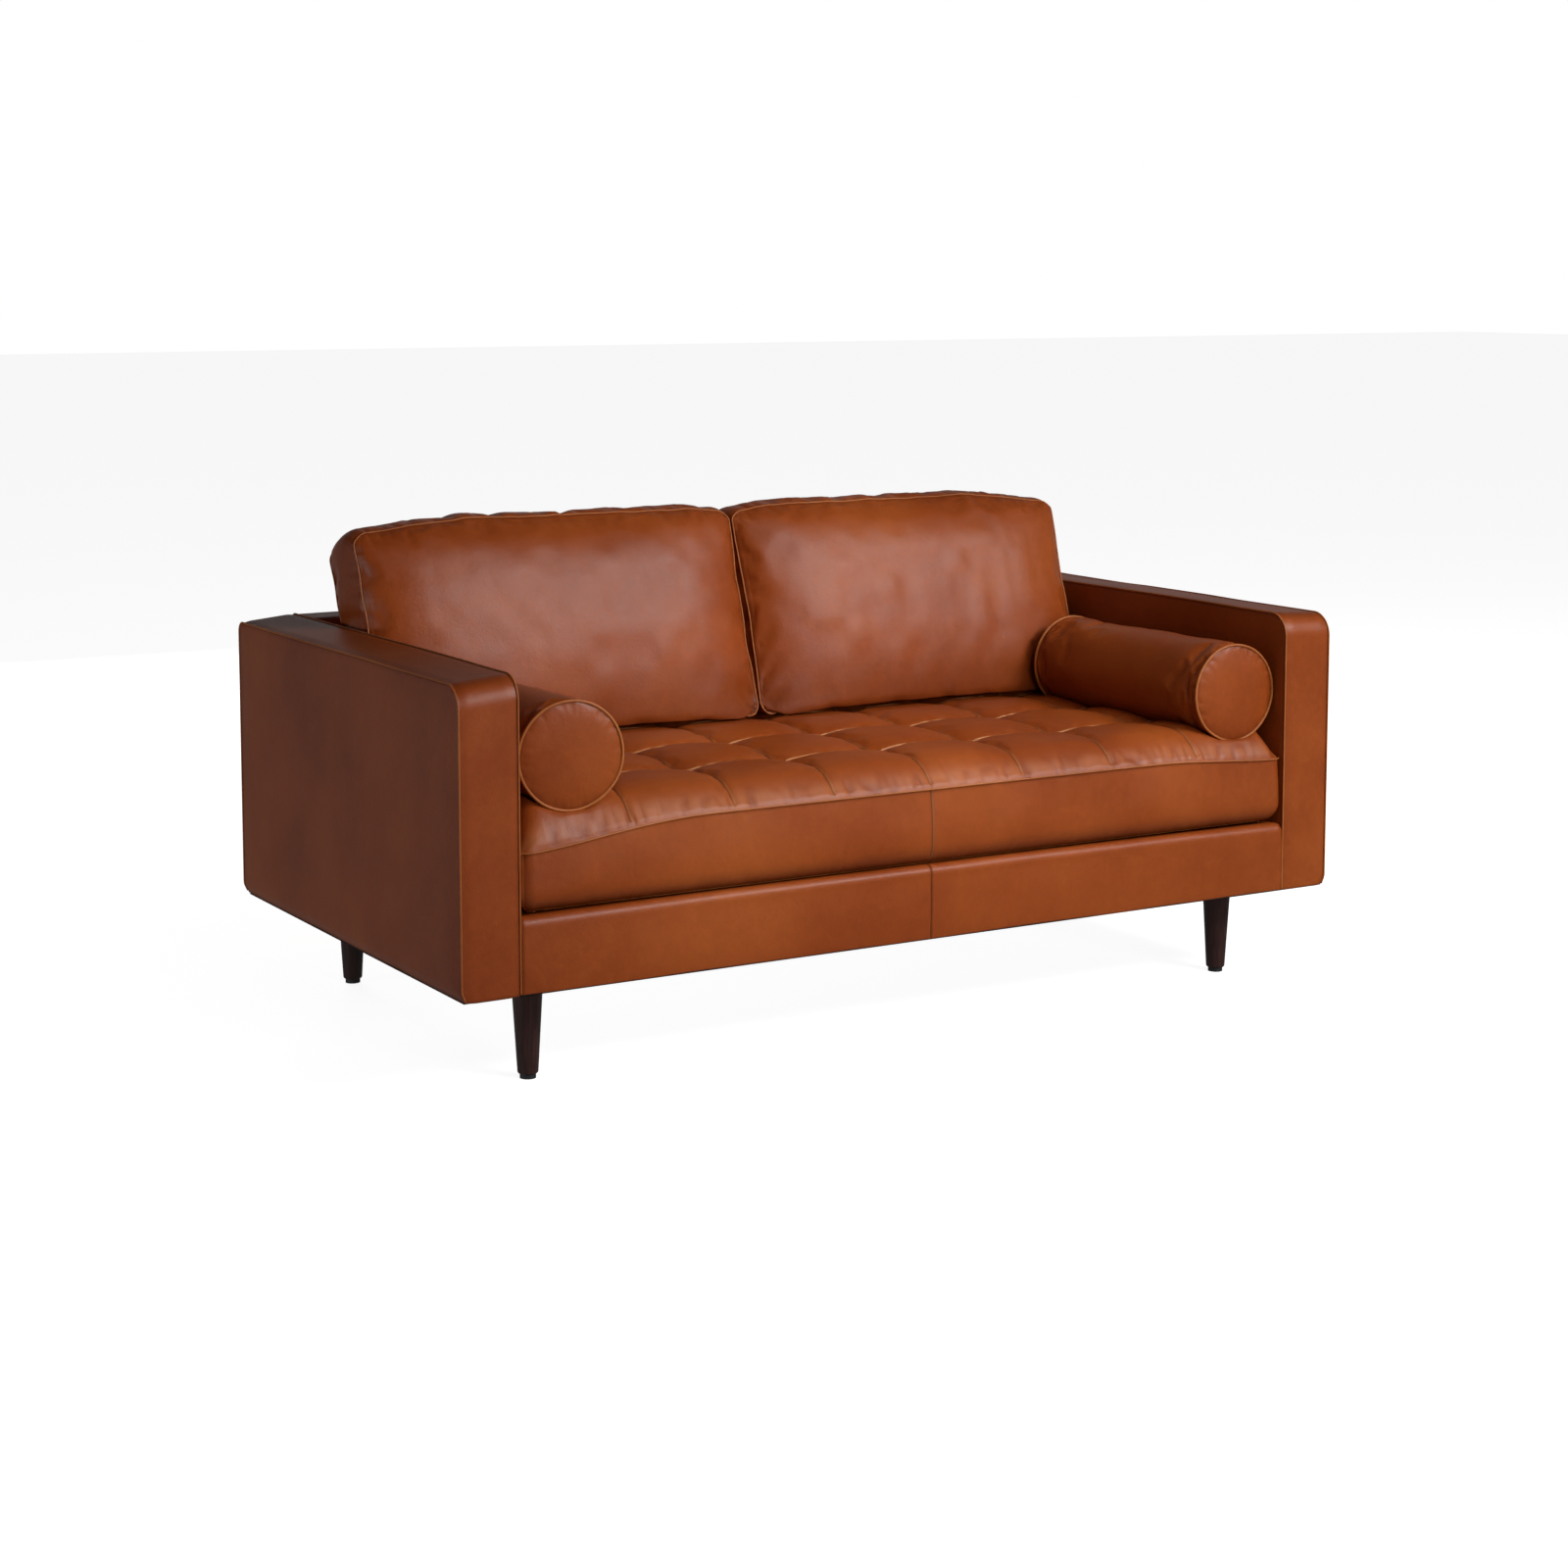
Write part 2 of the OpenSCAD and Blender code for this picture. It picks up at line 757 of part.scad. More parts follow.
module bolster_cords() {
    for (y = [bolster_y0 + cord_inset, bolster_y0 + bolster_l - cord_inset])
        translate([bolster_x, y, bolster_z]) rotate([90, 0, 0])
            rotate_extrude() translate([bolster_r - cord_inset, 0]) circle(cord_r);
}

// Zip along the side that faces the arm
module bolster_zip_space() {
    y = bolster_y0 + bolster_l / 2;
    rim = bolster_x + bolster_r;
    block([rim - bolster_zip_t, y - bolster_zip_l / 2, bolster_z - zip_w / 2],
          [rim + past, y + bolster_zip_l / 2, bolster_z + zip_w / 2]);
    block([rim - zip_slider_t, y + bolster_zip_l / 2 - zip_slider_l, bolster_z - zip_w / 2],
          [rim + past, y + bolster_zip_l / 2, bolster_z + zip_w / 2]);
}

// Puts the children, made as the right bolster, where the bolster on that side lies
module as_bolster(side) {
    on_side(side) translate([side < 0 ? -left_bolster_in : 0, 0, 0]) children();
}

module bolster_cover(side) {
    color(tan_leather) as_bolster(side) difference() {
        bolster_solid(0);
        bolster_solid(leather);
        bolster_cords();
        bolster_zip_space();
    }
}

module bolster_fill(side) {
    color(foam) as_bolster(side) difference() {
        bolster_solid(leather);
        bolster_cords();
        bolster_zip_space();
    }
}

module bolster_piping(side) {
    color(cord_leather) as_bolster(side) bolster_cords();
}

module bolster_zip(side) {
    color(steel) as_bolster(side) intersection() {
        bolster_solid(0);
        bolster_zip_space();
    }
}

// ---- Legs ----

// Tapered leg with an eased foot, a bore for its bolt and one for the glide's pin
module leg(side_x, side_y) {
    foot = leg_foot_d / 2;
    ease = [for (a = [-90:15:0]) [foot - leg_edge_r + leg_edge_r * cos(a),
                                  glide_h + leg_edge_r + leg_edge_r * sin(a)]];
    color(dark_wood) translate([side_x * leg_x, side_y * leg_y, 0]) difference() {
        rotate_extrude()
            polygon(concat([[0, glide_h]], ease, [[leg_top_d / 2, frame_z], [0, frame_z]]));
        translate([0, 0, leg_bolt_z - 2]) cylinder(h = frame_z - leg_bolt_z + 2 + past, r = bore_r);
        translate([0, 0, glide_h - past]) cylinder(h = glide_pin_l + 2, r = glide_pin_r + 0.1);
    }
}

module leg_bolts() {
    color(steel) at_legs() translate([0, 0, leg_bolt_z])
        cylinder(h = leg_bolt_top - leg_bolt_z, r = bolt_r);
}

module tee_nuts() {
    top = frame_z + block_h;
    color(steel) at_legs() difference() {
        union() {
            translate([0, 0, top]) cylinder(h = tee_flange_t, r = tee_flange_r);
            translate([0, 0, top - tee_barrel_l]) cylinder(h = tee_barrel_l, r = tee_barrel_r);
        }
        translate([0, 0, top - tee_barrel_l - past])
            cylinder(h = tee_barrel_l + tee_flange_t + 2 * past, r = bore_r);
    }
}

module glides() {
    color(black_cloth) at_legs() {
        cylinder(h = glide_h, r = glide_r);
        translate([0, 0, glide_h]) cylinder(h = glide_pin_l - 1, r = glide_pin_r);
    }
}

arm_cover(-1);  // left_arm_cover
arm_piping(-1);  // left_arm_piping
arm_padding(-1);  // left_arm_padding
arm_panels(-1);  // left_arm_panels
arm_posts(-1);  // left_arm_posts
arm_rails(-1);  // left_arm_rails
arm_cover(1);  // right_arm_cover
arm_piping(1);  // right_arm_piping
arm_padding(1);  // right_arm_padding
arm_panels(1);  // right_arm_panels
arm_posts(1);  // right_arm_posts
arm_rails(1);  // right_arm_rails
front_rail();
rear_rail();
seat_side_rails();
spring_rail();
centre_brace();
corner_blocks();
seat_springs();
spring_clips();
spring_insulator();
deck_cover();
front_rail_padding();
front_rail_cover();
dust_cover();
back_rails();
back_posts();
back_board();
back_webbing();
back_padding();
back_cover();
seat_cushion_cover();
seat_cushion_core();
seat_cushion_piping();
seat_cushion_zip();
back_cushion_cover(-1);  // left_back_cushion_cover
back_cushion_fill(-1);  // left_back_cushion_fill
back_cushion_piping(-1);  // left_back_cushion_piping
back_cushion_zip(-1);  // left_back_cushion_zip
back_cushion_cover(1);  // right_back_cushion_cover
back_cushion_fill(1);  // right_back_cushion_fill
back_cushion_piping(1);  // right_back_cushion_piping
back_cushion_zip(1);  // right_back_cushion_zip
bolster_cover(-1);  // left_bolster_cover
bolster_fill(-1);  // left_bolster_fill
bolster_piping(-1);  // left_bolster_piping
bolster_zip(-1);  // left_bolster_zip
bolster_cover(1);  // right_bolster_cover
bolster_fill(1);  // right_bolster_fill
bolster_piping(1);  // right_bolster_piping
bolster_zip(1);  // right_bolster_zip
leg(-1, -1);  // front_left_leg
leg(1, -1);  // front_right_leg
leg(-1, 1);  // rear_left_leg
leg(1, 1);  // rear_right_leg
leg_bolts();
tee_nuts();
glides();
arm_bolts();
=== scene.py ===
"""Looks of a two-seat leather sofa: bench cushion with tufting, back cushions, bolsters, arms."""

import json
import math

import bmesh
import bpy
import numpy as np
from mathutils import Euler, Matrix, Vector

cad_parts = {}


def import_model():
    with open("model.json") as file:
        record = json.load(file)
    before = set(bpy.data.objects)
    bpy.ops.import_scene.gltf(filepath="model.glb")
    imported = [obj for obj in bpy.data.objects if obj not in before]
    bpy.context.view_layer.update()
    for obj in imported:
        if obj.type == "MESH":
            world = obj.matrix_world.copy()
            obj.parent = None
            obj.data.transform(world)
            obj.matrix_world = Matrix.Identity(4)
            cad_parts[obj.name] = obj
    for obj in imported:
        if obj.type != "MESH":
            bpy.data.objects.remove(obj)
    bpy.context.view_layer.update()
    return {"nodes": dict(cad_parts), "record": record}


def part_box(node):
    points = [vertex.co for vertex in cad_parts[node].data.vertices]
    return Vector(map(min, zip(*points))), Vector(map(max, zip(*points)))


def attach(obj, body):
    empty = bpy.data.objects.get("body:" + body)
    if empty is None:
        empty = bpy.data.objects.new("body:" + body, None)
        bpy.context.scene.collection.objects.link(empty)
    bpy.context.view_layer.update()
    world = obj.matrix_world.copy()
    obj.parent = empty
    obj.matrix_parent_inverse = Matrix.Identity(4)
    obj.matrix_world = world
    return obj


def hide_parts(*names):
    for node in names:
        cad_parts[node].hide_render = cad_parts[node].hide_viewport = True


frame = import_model()

MM = 0.001

# ---- Places, from the CAD nodes ----

ARM_LO, ARM_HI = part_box("right_arm_cover")
RAIL_LO, RAIL_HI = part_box("front_rail_cover")
BACK_LO, BACK_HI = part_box("back_cover")
SEAT_LO, SEAT_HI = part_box("seat_cushion_cover")
CUSHION_LO, CUSHION_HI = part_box("right_back_cushion_cover")
BOLSTER_LO, BOLSTER_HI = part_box("right_bolster_cover")
LEFT_BOLSTER_LO, LEFT_BOLSTER_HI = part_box("left_bolster_cover")

ARM_IN = 0.807                  # inner face of each arm, from the middle
SEAT_SEAM_Z = 0.445             # seat cushion: front seam, and crest of the tufted top
SEAT_CREST_Z = 0.498
FOOT_Y = 0.100                  # back cushions: lower front edge, lean, height, thickness
FOOT_Z = 0.496
LEAN = math.radians(18)
SLOPE_H = 0.420
BOXING_T = 0.120
BACK_IN_Y = 0.392               # front face of the back frame
BOLSTER_R = 0.092
BOLSTER_X = {1: (BOLSTER_LO.x + BOLSTER_HI.x) / 2,
             -1: -(LEFT_BOLSTER_LO.x + LEFT_BOLSTER_HI.x) / 2}
BOLSTER_Z = (BOLSTER_LO.z + BOLSTER_HI.z) / 2
SEAM_CORD_R = 1.5 * MM
ARM_CORD_R = 1.8 * MM
BOLSTER_CORD_R = 2.6 * MM
SEAM_SHADE = 2.5 * MM           # reach of the painted shade beside a seam

# ---- Arrays and noise ----


def stack(*parts):
    """Arrays or numbers, as the coordinates of an array of points."""
    return np.stack(np.broadcast_arrays(*parts), -1)


LATTICE = np.random.default_rng(11).uniform(-1.0, 1.0, (32, 32, 32))


def noise(points, size, seed=0):
    """Smooth noise from -1 to 1 with features of that size, at an array of points."""
    q = np.asarray(points, float) / size + np.array([3.7, 9.1, 5.3]) * (seed + 1)
    cell = np.floor(q).astype(int)
    f = q - cell
    f = f * f * f * (f * (6 * f - 15) + 10)
    total = 0.0
    for corner in np.ndindex(2, 2, 2):
        weight = 1.0
        for axis in range(3):
            weight = weight * (f[..., axis] if corner[axis] else 1 - f[..., axis])
        i, j, k = ((cell[..., axis] + corner[axis]) & 31 for axis in range(3))
        total = total + weight * LATTICE[i, j, k]
    return total


def noise2(a, b, size, seed=0):
    """The same noise over two coordinates."""
    return noise(stack(a, b, 0.0), size, seed)


def crease(a, b, size, seed=0):
    """Thin valleys, 1 at their bottom and 0 away from them."""
    return (1 - np.abs(noise2(a, b, size, seed))) ** 5


def bell(x, width):
    """1 where x is 0, fading to 0 on both sides over that width."""
    return np.exp(-(x / width) ** 2)


def gathered(value, d, reach, start):
    """A value that is strongest close to an edge at a distance d, and nothing on the edge."""
    return value * np.exp(-d / reach) * smooth(d, 0, start)


def smooth(x, lo=0.0, hi=1.0):
    """Smooth change from 0 at lo to 1 at hi."""
    t = np.clip((x - lo) / (hi - lo), 0, 1)
    return t * t * (3 - 2 * t)


def soft_min(a, b, r):
    """The lower of a and b, with a rounded change from one to the other."""
    h = np.clip(0.5 + (b - a) / (2 * r), 0, 1)
    return b + (a - b) * h - r * h * (1 - h)


# ---- Mesh building ----


def lines(length, step, edge=0.5):
    """Places from 0 to length, closer together near both ends."""
    t = np.linspace(0, 1, max(4, round(length / step)) + 1)
    return length * (t - edge * np.sin(2 * np.pi * t) / (2 * np.pi))


def round_corners(u, v, width, height, radii):
    """Moves the points of a rectangular grid so that its corners are round."""
    u, v = u.copy(), v.copy()
    for (side_u, side_v), r in zip(((-1, -1), (1, -1), (1, 1), (-1, 1)), radii):
        cu = r if side_u < 0 else width - r
        cv = r if side_v < 0 else height - r
        p = np.clip((u - cu) * side_u / r, 0, 1)
        q = np.clip((v - cv) * side_v / r, 0, 1)
        inside = (p > 0) & (q > 0)
        u = np.where(inside, cu + side_u * r * p * np.sqrt(1 - q * q / 2), u)
        v = np.where(inside, cv + side_v * r * q * np.sqrt(1 - p * p / 2), v)
    return u, v


def rim(na, nb):
    """Grid indices once round the edge of a grid, counterclockwise."""
    i = [*range(na), *[na - 1] * (nb - 1), *range(na - 2, -1, -1), *[0] * (nb - 2)]
    j = [*[0] * na, *range(1, nb), *[nb - 1] * (na - 1), *range(nb - 2, 0, -1)]
    return np.array(i), np.array(j)


def outward(u, v):
    """Outward direction in the plane at each point of a counterclockwise loop."""
    du = np.roll(u, -1) - np.roll(u, 1)
    dv = np.roll(v, -1) - np.roll(v, 1)
    size = np.maximum(np.hypot(du, dv), 1e-9)
    return dv / size, -du / size


def run_length(path):
    """Length along a path at each of its points."""
    return np.concatenate([[0], np.cumsum(np.linalg.norm(np.diff(path, axis=0), axis=1))])


def beside(d, darkest):
    """Painted shade: darkening of the leather at a distance d from a seam."""
    return darkest * np.exp(-d / SEAM_SHADE)


def quads(index):
    """Faces between the lines of a grid of point numbers."""
    a = index
    return stack(a[:-1, :-1], a[1:, :-1], a[1:, 1:], a[:-1, 1:]).reshape(-1, 4)


def linked(name, data):
    """An object for that data, linked to the scene."""
    obj = bpy.data.objects.new(name, data)
    bpy.context.scene.collection.objects.link(obj)
    return obj


def make_object(name, points, faces, material, marks=None, fix_normals=True):
    """A smooth mesh object. marks are named values at the points, which its material reads."""
    mesh = bpy.data.meshes.new(name)
    mesh.from_pydata(np.asarray(points, float).tolist(), [], [list(map(int, f)) for f in faces])
    if fix_normals:
        bm = bmesh.new()
        bm.from_mesh(mesh)
        bmesh.ops.recalc_face_normals(bm, faces=bm.faces)
        bm.to_mesh(mesh)
        bm.free()
    for key, values in (marks or {}).items():
        layer = mesh.attributes.new(key, "FLOAT", "POINT")
        layer.data.foreach_set("value", np.asarray(values, np.float32).ravel())
    mesh.polygons.foreach_set("use_smooth", np.ones(len(mesh.polygons), bool))
    if material is not None:
        mesh.materials.append(material)
    return linked(name, mesh)


def boxed_points(front, strip, back):
    """All points of a boxed form in one list: the front, the strip between its seams, the back."""
    inner = strip[:, 1:-1] if back is not None else strip[:, 1:]
    parts = [front, inner] if back is None else [front, inner, back]
    return np.concatenate([part.reshape(-1, *front.shape[2:]) for part in parts])


def boxed_mesh(name, front, strip, back, material, marks):
    """Closed form of a front panel, a strip round it and a back panel, or a flat back if None.

    Each of the marks is a name with its values on the front, the strip and the back."""
    na, nb = front.shape[:2]
    i, j = rim(na, nb)
    index_front = np.arange(na * nb).reshape(na, nb)
    rows = strip.shape[1] - (1 if back is None else 2)
    index_strip = np.zeros(strip.shape[:2], int)
    index_strip[:, 0] = index_front[i, j]
    index_strip[:, 1:rows + 1] = na * nb + np.arange(len(i) * rows).reshape(-1, rows)
    faces = [quads(index_front)]
    extra = []
    if back is None:
        extra.append(list(index_strip[:, -1]))
    else:
        index_back = na * nb + len(i) * rows + index_front
        index_strip[:, -1] = index_back[i, j]
        faces.append(quads(index_back)[:, ::-1])
    faces.append(quads(np.vstack([index_strip, index_strip[:1]]))[:, ::-1])
    values = {key: boxed_points(*grids) for key, grids in marks.items()}
    return make_object(name, boxed_points(front, strip, back), [*np.vstack(faces), *extra],
                       material, values)


def tube(name, path, radius, material, closed=True, sides=8):
    """Cord along a path."""
    path = np.asarray(path, float)
    count = len(path)
    if closed:
        tangent = np.roll(path, -1, 0) - np.roll(path, 1, 0)
    else:
        tangent = np.gradient(path, axis=0)
    tangent /= np.maximum(np.linalg.norm(tangent, axis=1, keepdims=True), 1e-12)
    side = np.zeros_like(path)
    start = np.cross(tangent[0], [0.31, 0.55, 0.77])
    side[0] = start / np.linalg.norm(start)
    for k in range(1, count):
        s = side[k - 1] - tangent[k] * np.dot(side[k - 1], tangent[k])
        side[k] = s / np.linalg.norm(s)
    other = np.cross(tangent, side)
    angle = np.arange(sides) * 2 * np.pi / sides
    ring = (path[:, None] + radius * (np.cos(angle)[None, :, None] * side[:, None]
                                      + np.sin(angle)[None, :, None] * other[:, None]))
    index = np.arange(count * sides).reshape(count, sides)
    index = np.hstack([index, index[:, :1]])
    faces = list(quads(np.vstack([index, index[:1]]) if closed else index))
    if not closed:
        faces += [list(index[0, :-1])[::-1], list(index[-1, :-1])]
    return make_object(name, ring.reshape(-1, 3), faces, material)


def smooth_path(path, times=2):
    for _ in range(times):
        path = (np.roll(path, 1, 0) + 2 * path + np.roll(path, -1, 0)) / 4
    return path


# ---- Cloth simulation ----

SIM_FRAMES = 20
CLOTH_SETTINGS = {"quality": 4, "mass": 0.3, "air_damping": 4.0, "tension_stiffness": 25,
                  "compression_stiffness": 25, "shear_stiffness": 12, "bending_stiffness": 2.0,
                  "use_pressure": True, "uniform_pressure_force": 4.0,
                  "vertex_group_mass": "held"}
# How much larger than its seams each cover is cut, and the most that a point may move
SEAT_CLOTH = (0.015, 8 * MM)
BACK_CLOTH = (0.012, 14 * MM)
BOLSTER_CLOTH = (0.012, 7 * MM)


def doubled(values, closed=False):
    """Twice as many lines along the first axis, on a smooth curve through the given ones."""
    if closed:
        ahead = np.roll(values, -1, 0)
        middle = (9 * (values + ahead) - np.roll(values, 1, 0) - np.roll(values, -2, 0)) / 16
        return np.stack([values, middle], 1).reshape(-1, *values.shape[1:])
    ends = np.concatenate([2 * values[:1] - values[1:2], values, 2 * values[-1:] - values[-2:-1]])
    middle = (9 * (ends[1:-2] + ends[2:-1]) - ends[:-3] - ends[3:]) / 16
    made = np.empty((2 * len(values) - 1, *values.shape[1:]))
    made[0::2], made[1::2] = values, middle
    return made


def refined(moves, closed=False):
    """Moves on every second line of a grid, spread to all its lines both ways."""
    return doubled(doubled(moves, closed).swapaxes(0, 1)).swapaxes(0, 1)


def coordinates(mesh):
    flat = np.empty(3 * len(mesh.vertices), np.float32)
    mesh.vertices.foreach_get("co", flat)
    return flat.reshape(-1, 3).astype(float)


def inflate(cover, held, growth, limit):
    """Blows up a closed leather cover as cloth, held at its seams, and gives each point's move.

    The leather is cut larger than its seams by the growth, so that it gathers along them."""
    group = cover.vertex_groups.new(name="held")
    group.add(np.flatnonzero(held).tolist(), 1.0, "REPLACE")
    cloth = cover.modifiers.new("cloth", "CLOTH")
    settings = cloth.settings
    for key, value in CLOTH_SETTINGS.items():
        setattr(settings, key, value)
    settings.shrink_min = -growth
    settings.effector_weights.gravity = 0
    cloth.point_cache.frame_end = SIM_FRAMES
    start = coordinates(cover.data)
    scene = bpy.context.scene
    for step in range(1, SIM_FRAMES + 1):
        scene.frame_set(step)
    blown = cover.evaluated_get(bpy.context.evaluated_depsgraph_get()).to_mesh()
    moves = coordinates(blown) - start
    scene.frame_set(1)
    mesh = cover.data
    bpy.data.objects.remove(cover)
    bpy.data.meshes.remove(mesh)
    size = np.maximum(np.linalg.norm(moves, axis=1, keepdims=True), 1e-9)
    return moves * limit * np.tanh(size / limit) / size


def calmed(moves, strength, times=70):
    """The moves, smoothed where the strength is 1 and kept as they are where it is 0."""
    soft = moves
    for _ in range(times):
        for axis in (0, 1):
            wide = np.concatenate([soft.take([0], axis), soft, soft.take([-1], axis)], axis)
            n = soft.shape[axis]
            soft = (wide.take(range(n), axis) + 2 * soft + wide.take(range(2, n + 2), axis)) / 4
    return moves + (soft - moves) * strength[..., None]


def inflate_boxed(front, strip, back, held, growth, limit):
    """Moves for the three grids of a boxed form, simulated on every second line of each."""
    grids = [None if g is None else g[::2, ::2] for g in (front, strip, back)]
    cover = boxed_mesh("simulated_cover", *grids, None, {})
    pins = boxed_points(*[None if g is None else g[::2, ::2] for g in held])
    moves = inflate(cover, pins, growth, limit)
    na, nb = grids[0].shape[:2]
    i, j = rim(na, nb)
    on_front = moves[:na * nb].reshape(na, nb, 3)
    rows = grids[1].shape[1] - (1 if back is None else 2)
    on_strip = moves[na * nb:na * nb + len(i) * rows].reshape(-1, rows, 3)
    on_strip = np.concatenate([on_front[i, j][:, None], on_strip], 1)
    if back is None:
        return refined(on_front), refined(on_strip, closed=True), None
    on_back = moves[-na * nb:].reshape(na, nb, 3)
    on_strip = np.concatenate([on_strip, on_back[i, j][:, None]], 1)
    return refined(on_front), refined(on_strip, closed=True), refined(on_back)


# ---- Materials ----


def new_material(name):
    material = bpy.data.materials.new(name)
    material.use_nodes = True
    tree = material.node_tree
    return material, tree, tree.nodes["Principled BSDF"]


def node(tree, kind, **values):
    made = tree.nodes.new(kind)
    for key, value in values.items():
        if key in made.inputs:
            made.inputs[key].default_value = value
        else:
            setattr(made, key, value)
    return made


def link(tree, a, b):
    tree.links.new(a, b)


def blend_colour(tree, factor, a, b, mode="MIX"):
    """Mix of two colours; factor, a and b are sockets or values."""
    mix = tree.nodes.new("ShaderNodeMix")
    mix.data_type = "RGBA"
    mix.blend_type = mode
    for socket, value in ((mix.inputs[0], factor), (mix.inputs[6], a), (mix.inputs[7], b)):
        if isinstance(value, bpy.types.NodeSocket):
            link(tree, value, socket)
        else:
            socket.default_value = value
    return mix.outputs[2]


def ramp(tree, source, stops):
    """Colours at places from 0 to 1 of a source; a plain number stands for a grey."""
    made = tree.nodes.new("ShaderNodeValToRGB")
    elements = made.color_ramp.elements
    stops = [(place, value if isinstance(value, tuple) else grey(value)) for place, value in stops]
    for element, (place, value) in zip(elements, (stops[0], stops[-1])):
        element.position = place
        element.color = value
    for place, value in stops[1:-1]:
        elements.new(place).color = value
    link(tree, source, made.inputs[0])
    return made.outputs[0]


def grey(value):
    return (value, value, value, 1)


def object_place(tree, squeeze=None):
    """The object's own coordinates, scaled by squeeze to stretch what they place."""
    place = tree.nodes.new("ShaderNodeTexCoord").outputs["Object"]
    if squeeze is None:
        return place
    mapping = node(tree, "ShaderNodeMapping")
    mapping.inputs["Scale"].default_value = squeeze
    link(tree, place, mapping.inputs["Vector"])
    return mapping.outputs[0]


def texture(tree, kind, place, **values):
    made = node(tree, "ShaderNodeTex" + kind, **values)
    link(tree, place, made.inputs["Vector"])
    return made


def mark(tree, name):
    """The values of a mark that the mesh carries at its points."""
    return node(tree, "ShaderNodeAttribute", attribute_name=name).outputs["Fac"]


def surface(tree, shader, colour, bumps=(), **values):
    """Gives a shader its colour, its bumps (height, strength, distance) and its other values."""
    link(tree, colour, shader.inputs["Base Color"])
    for key, value in values.items():
        socket = shader.inputs[key.replace("_", " ")]
        if isinstance(value, bpy.types.NodeSocket):
            link(tree, value, socket)
        else:
            socket.default_value = value
    normal = None
    for height, strength, distance in bumps:
        bump = node(tree, "ShaderNodeBump", Strength=strength, Distance=distance)
        link(tree, height, bump.inputs["Height"])
        if normal is not None:
            link(tree, normal, bump.inputs["Normal"])
        normal = bump.outputs[0]
    if normal is not None:
        link(tree, normal, shader.inputs["Normal"])


# Colour of the painted highlight on fold crests and pucker tops.
PAINTED_HIGHLIGHT_COLOUR = (0.66, 0.29, 0.12, 1)


def leather(name, dark, mid, light, roughness=0.40, grain=1.0):
    """Waxed leather: mottled colour, fine pebble grain, painted shade in seams, painted highlight
    on crests.
    """
    material, tree, shader = new_material(name)
    place = object_place(tree)
    cloud = texture(tree, "Noise", place, Scale=3.2, Detail=5.0, Roughness=0.55)
    fleck = texture(tree, "Noise", place, Scale=75.0, Detail=4.0, Roughness=0.65).outputs[0]
    streak = texture(tree, "Noise", place, Scale=15.0, Detail=6.0, Roughness=0.7, Distortion=1.2)
    colour = ramp(tree, cloud.outputs[0], [(0.30, dark), (0.50, mid), (0.74, light)])
    colour = blend_colour(tree, 0.6, colour, ramp(tree, fleck, [(0.35, 0.84), (0.65, 1.0)]),
                          "MULTIPLY")
    colour = blend_colour(tree, ramp(tree, streak.outputs[0], [(0.58, 0.0), (0.80, 0.45)]),
                          colour, light)
    # Painted shade: the seam mark darkens the colour in grooves, creases, under tucks, low on the
    # back cushions and beside seams.
    shade = ramp(tree, mark(tree, "seam"), [(0.0, 1.0), (0.55, 0.62), (1.0, 0.34)])
    colour = blend_colour(tree, 1.0, colour, shade, "MULTIPLY")
    # Painted highlight: a lighter colour where the mesh marks fold crests and pucker tops.
    colour = blend_colour(tree, mark(tree, "painted_highlight"), colour, PAINTED_HIGHLIGHT_COLOUR)

    cells = texture(tree, "Voronoi", place, feature="DISTANCE_TO_EDGE", Scale=620.0)
    pebble = ramp(tree, cells.outputs["Distance"], [(0.0, 0.0), (0.22, 1.0)])
    pores = texture(tree, "Noise", place, Scale=1500.0, Detail=2.0)
    folds = texture(tree, "Noise", place, Scale=95.0, Detail=5.0, Roughness=0.6, Distortion=0.8)
    surface(tree, shader, colour,
            [(pebble, 0.30 * grain, 0.00022), (pores.outputs[0], 0.16 * grain, 0.0002),
             (folds.outputs[0], 0.22, 0.0016)],
            Roughness=ramp(tree, fleck, [(0.3, roughness - 0.02), (0.7, roughness + 0.03)]),
            Specular_IOR_Level=0.38)
    return material


def stained_wood(name, dark, light):
    """Espresso-stained wood with fine grain along Z and an even satin lacquer."""
    material, tree, shader = new_material(name)
    place = object_place(tree, (1.0, 1.0, 0.06))
    grain = texture(tree, "Noise", place, Scale=260.0, Detail=6.0, Roughness=0.7,
                    Distortion=0.6).outputs[0]
    band = texture(tree, "Wave", place, Scale=38.0, Distortion=6.0, Detail=3.0)
    colour = blend_colour(tree, 0.6, ramp(tree, grain, [(0.32, dark), (0.72, light)]),
                          ramp(tree, band.outputs[0], [(0.1, 0.72), (0.9, 1.0)]), "MULTIPLY")
    surface(tree, shader, colour, [(grain, 0.25, 0.0004)],
            Roughness=ramp(tree, grain, [(0.3, 0.34), (0.7, 0.46)]),
            Specular_IOR_Level=0.35, Coat_Weight=0.12, Coat_Roughness=0.22)
    return material


def grained(name, dark, light, kind, stops, bump, roughness, squeeze=None, **values):
    """One texture that gives both the colour, from dark to light, and the bumps."""
    material, tree, shader = new_material(name)
    grain = texture(tree, kind, object_place(tree, squeeze), **values).outputs[0]
    surface(tree, shader, ramp(tree, grain, [*zip(stops, (dark, light))]),
            [(grain, *bump)], Roughness=roughness)
    return material


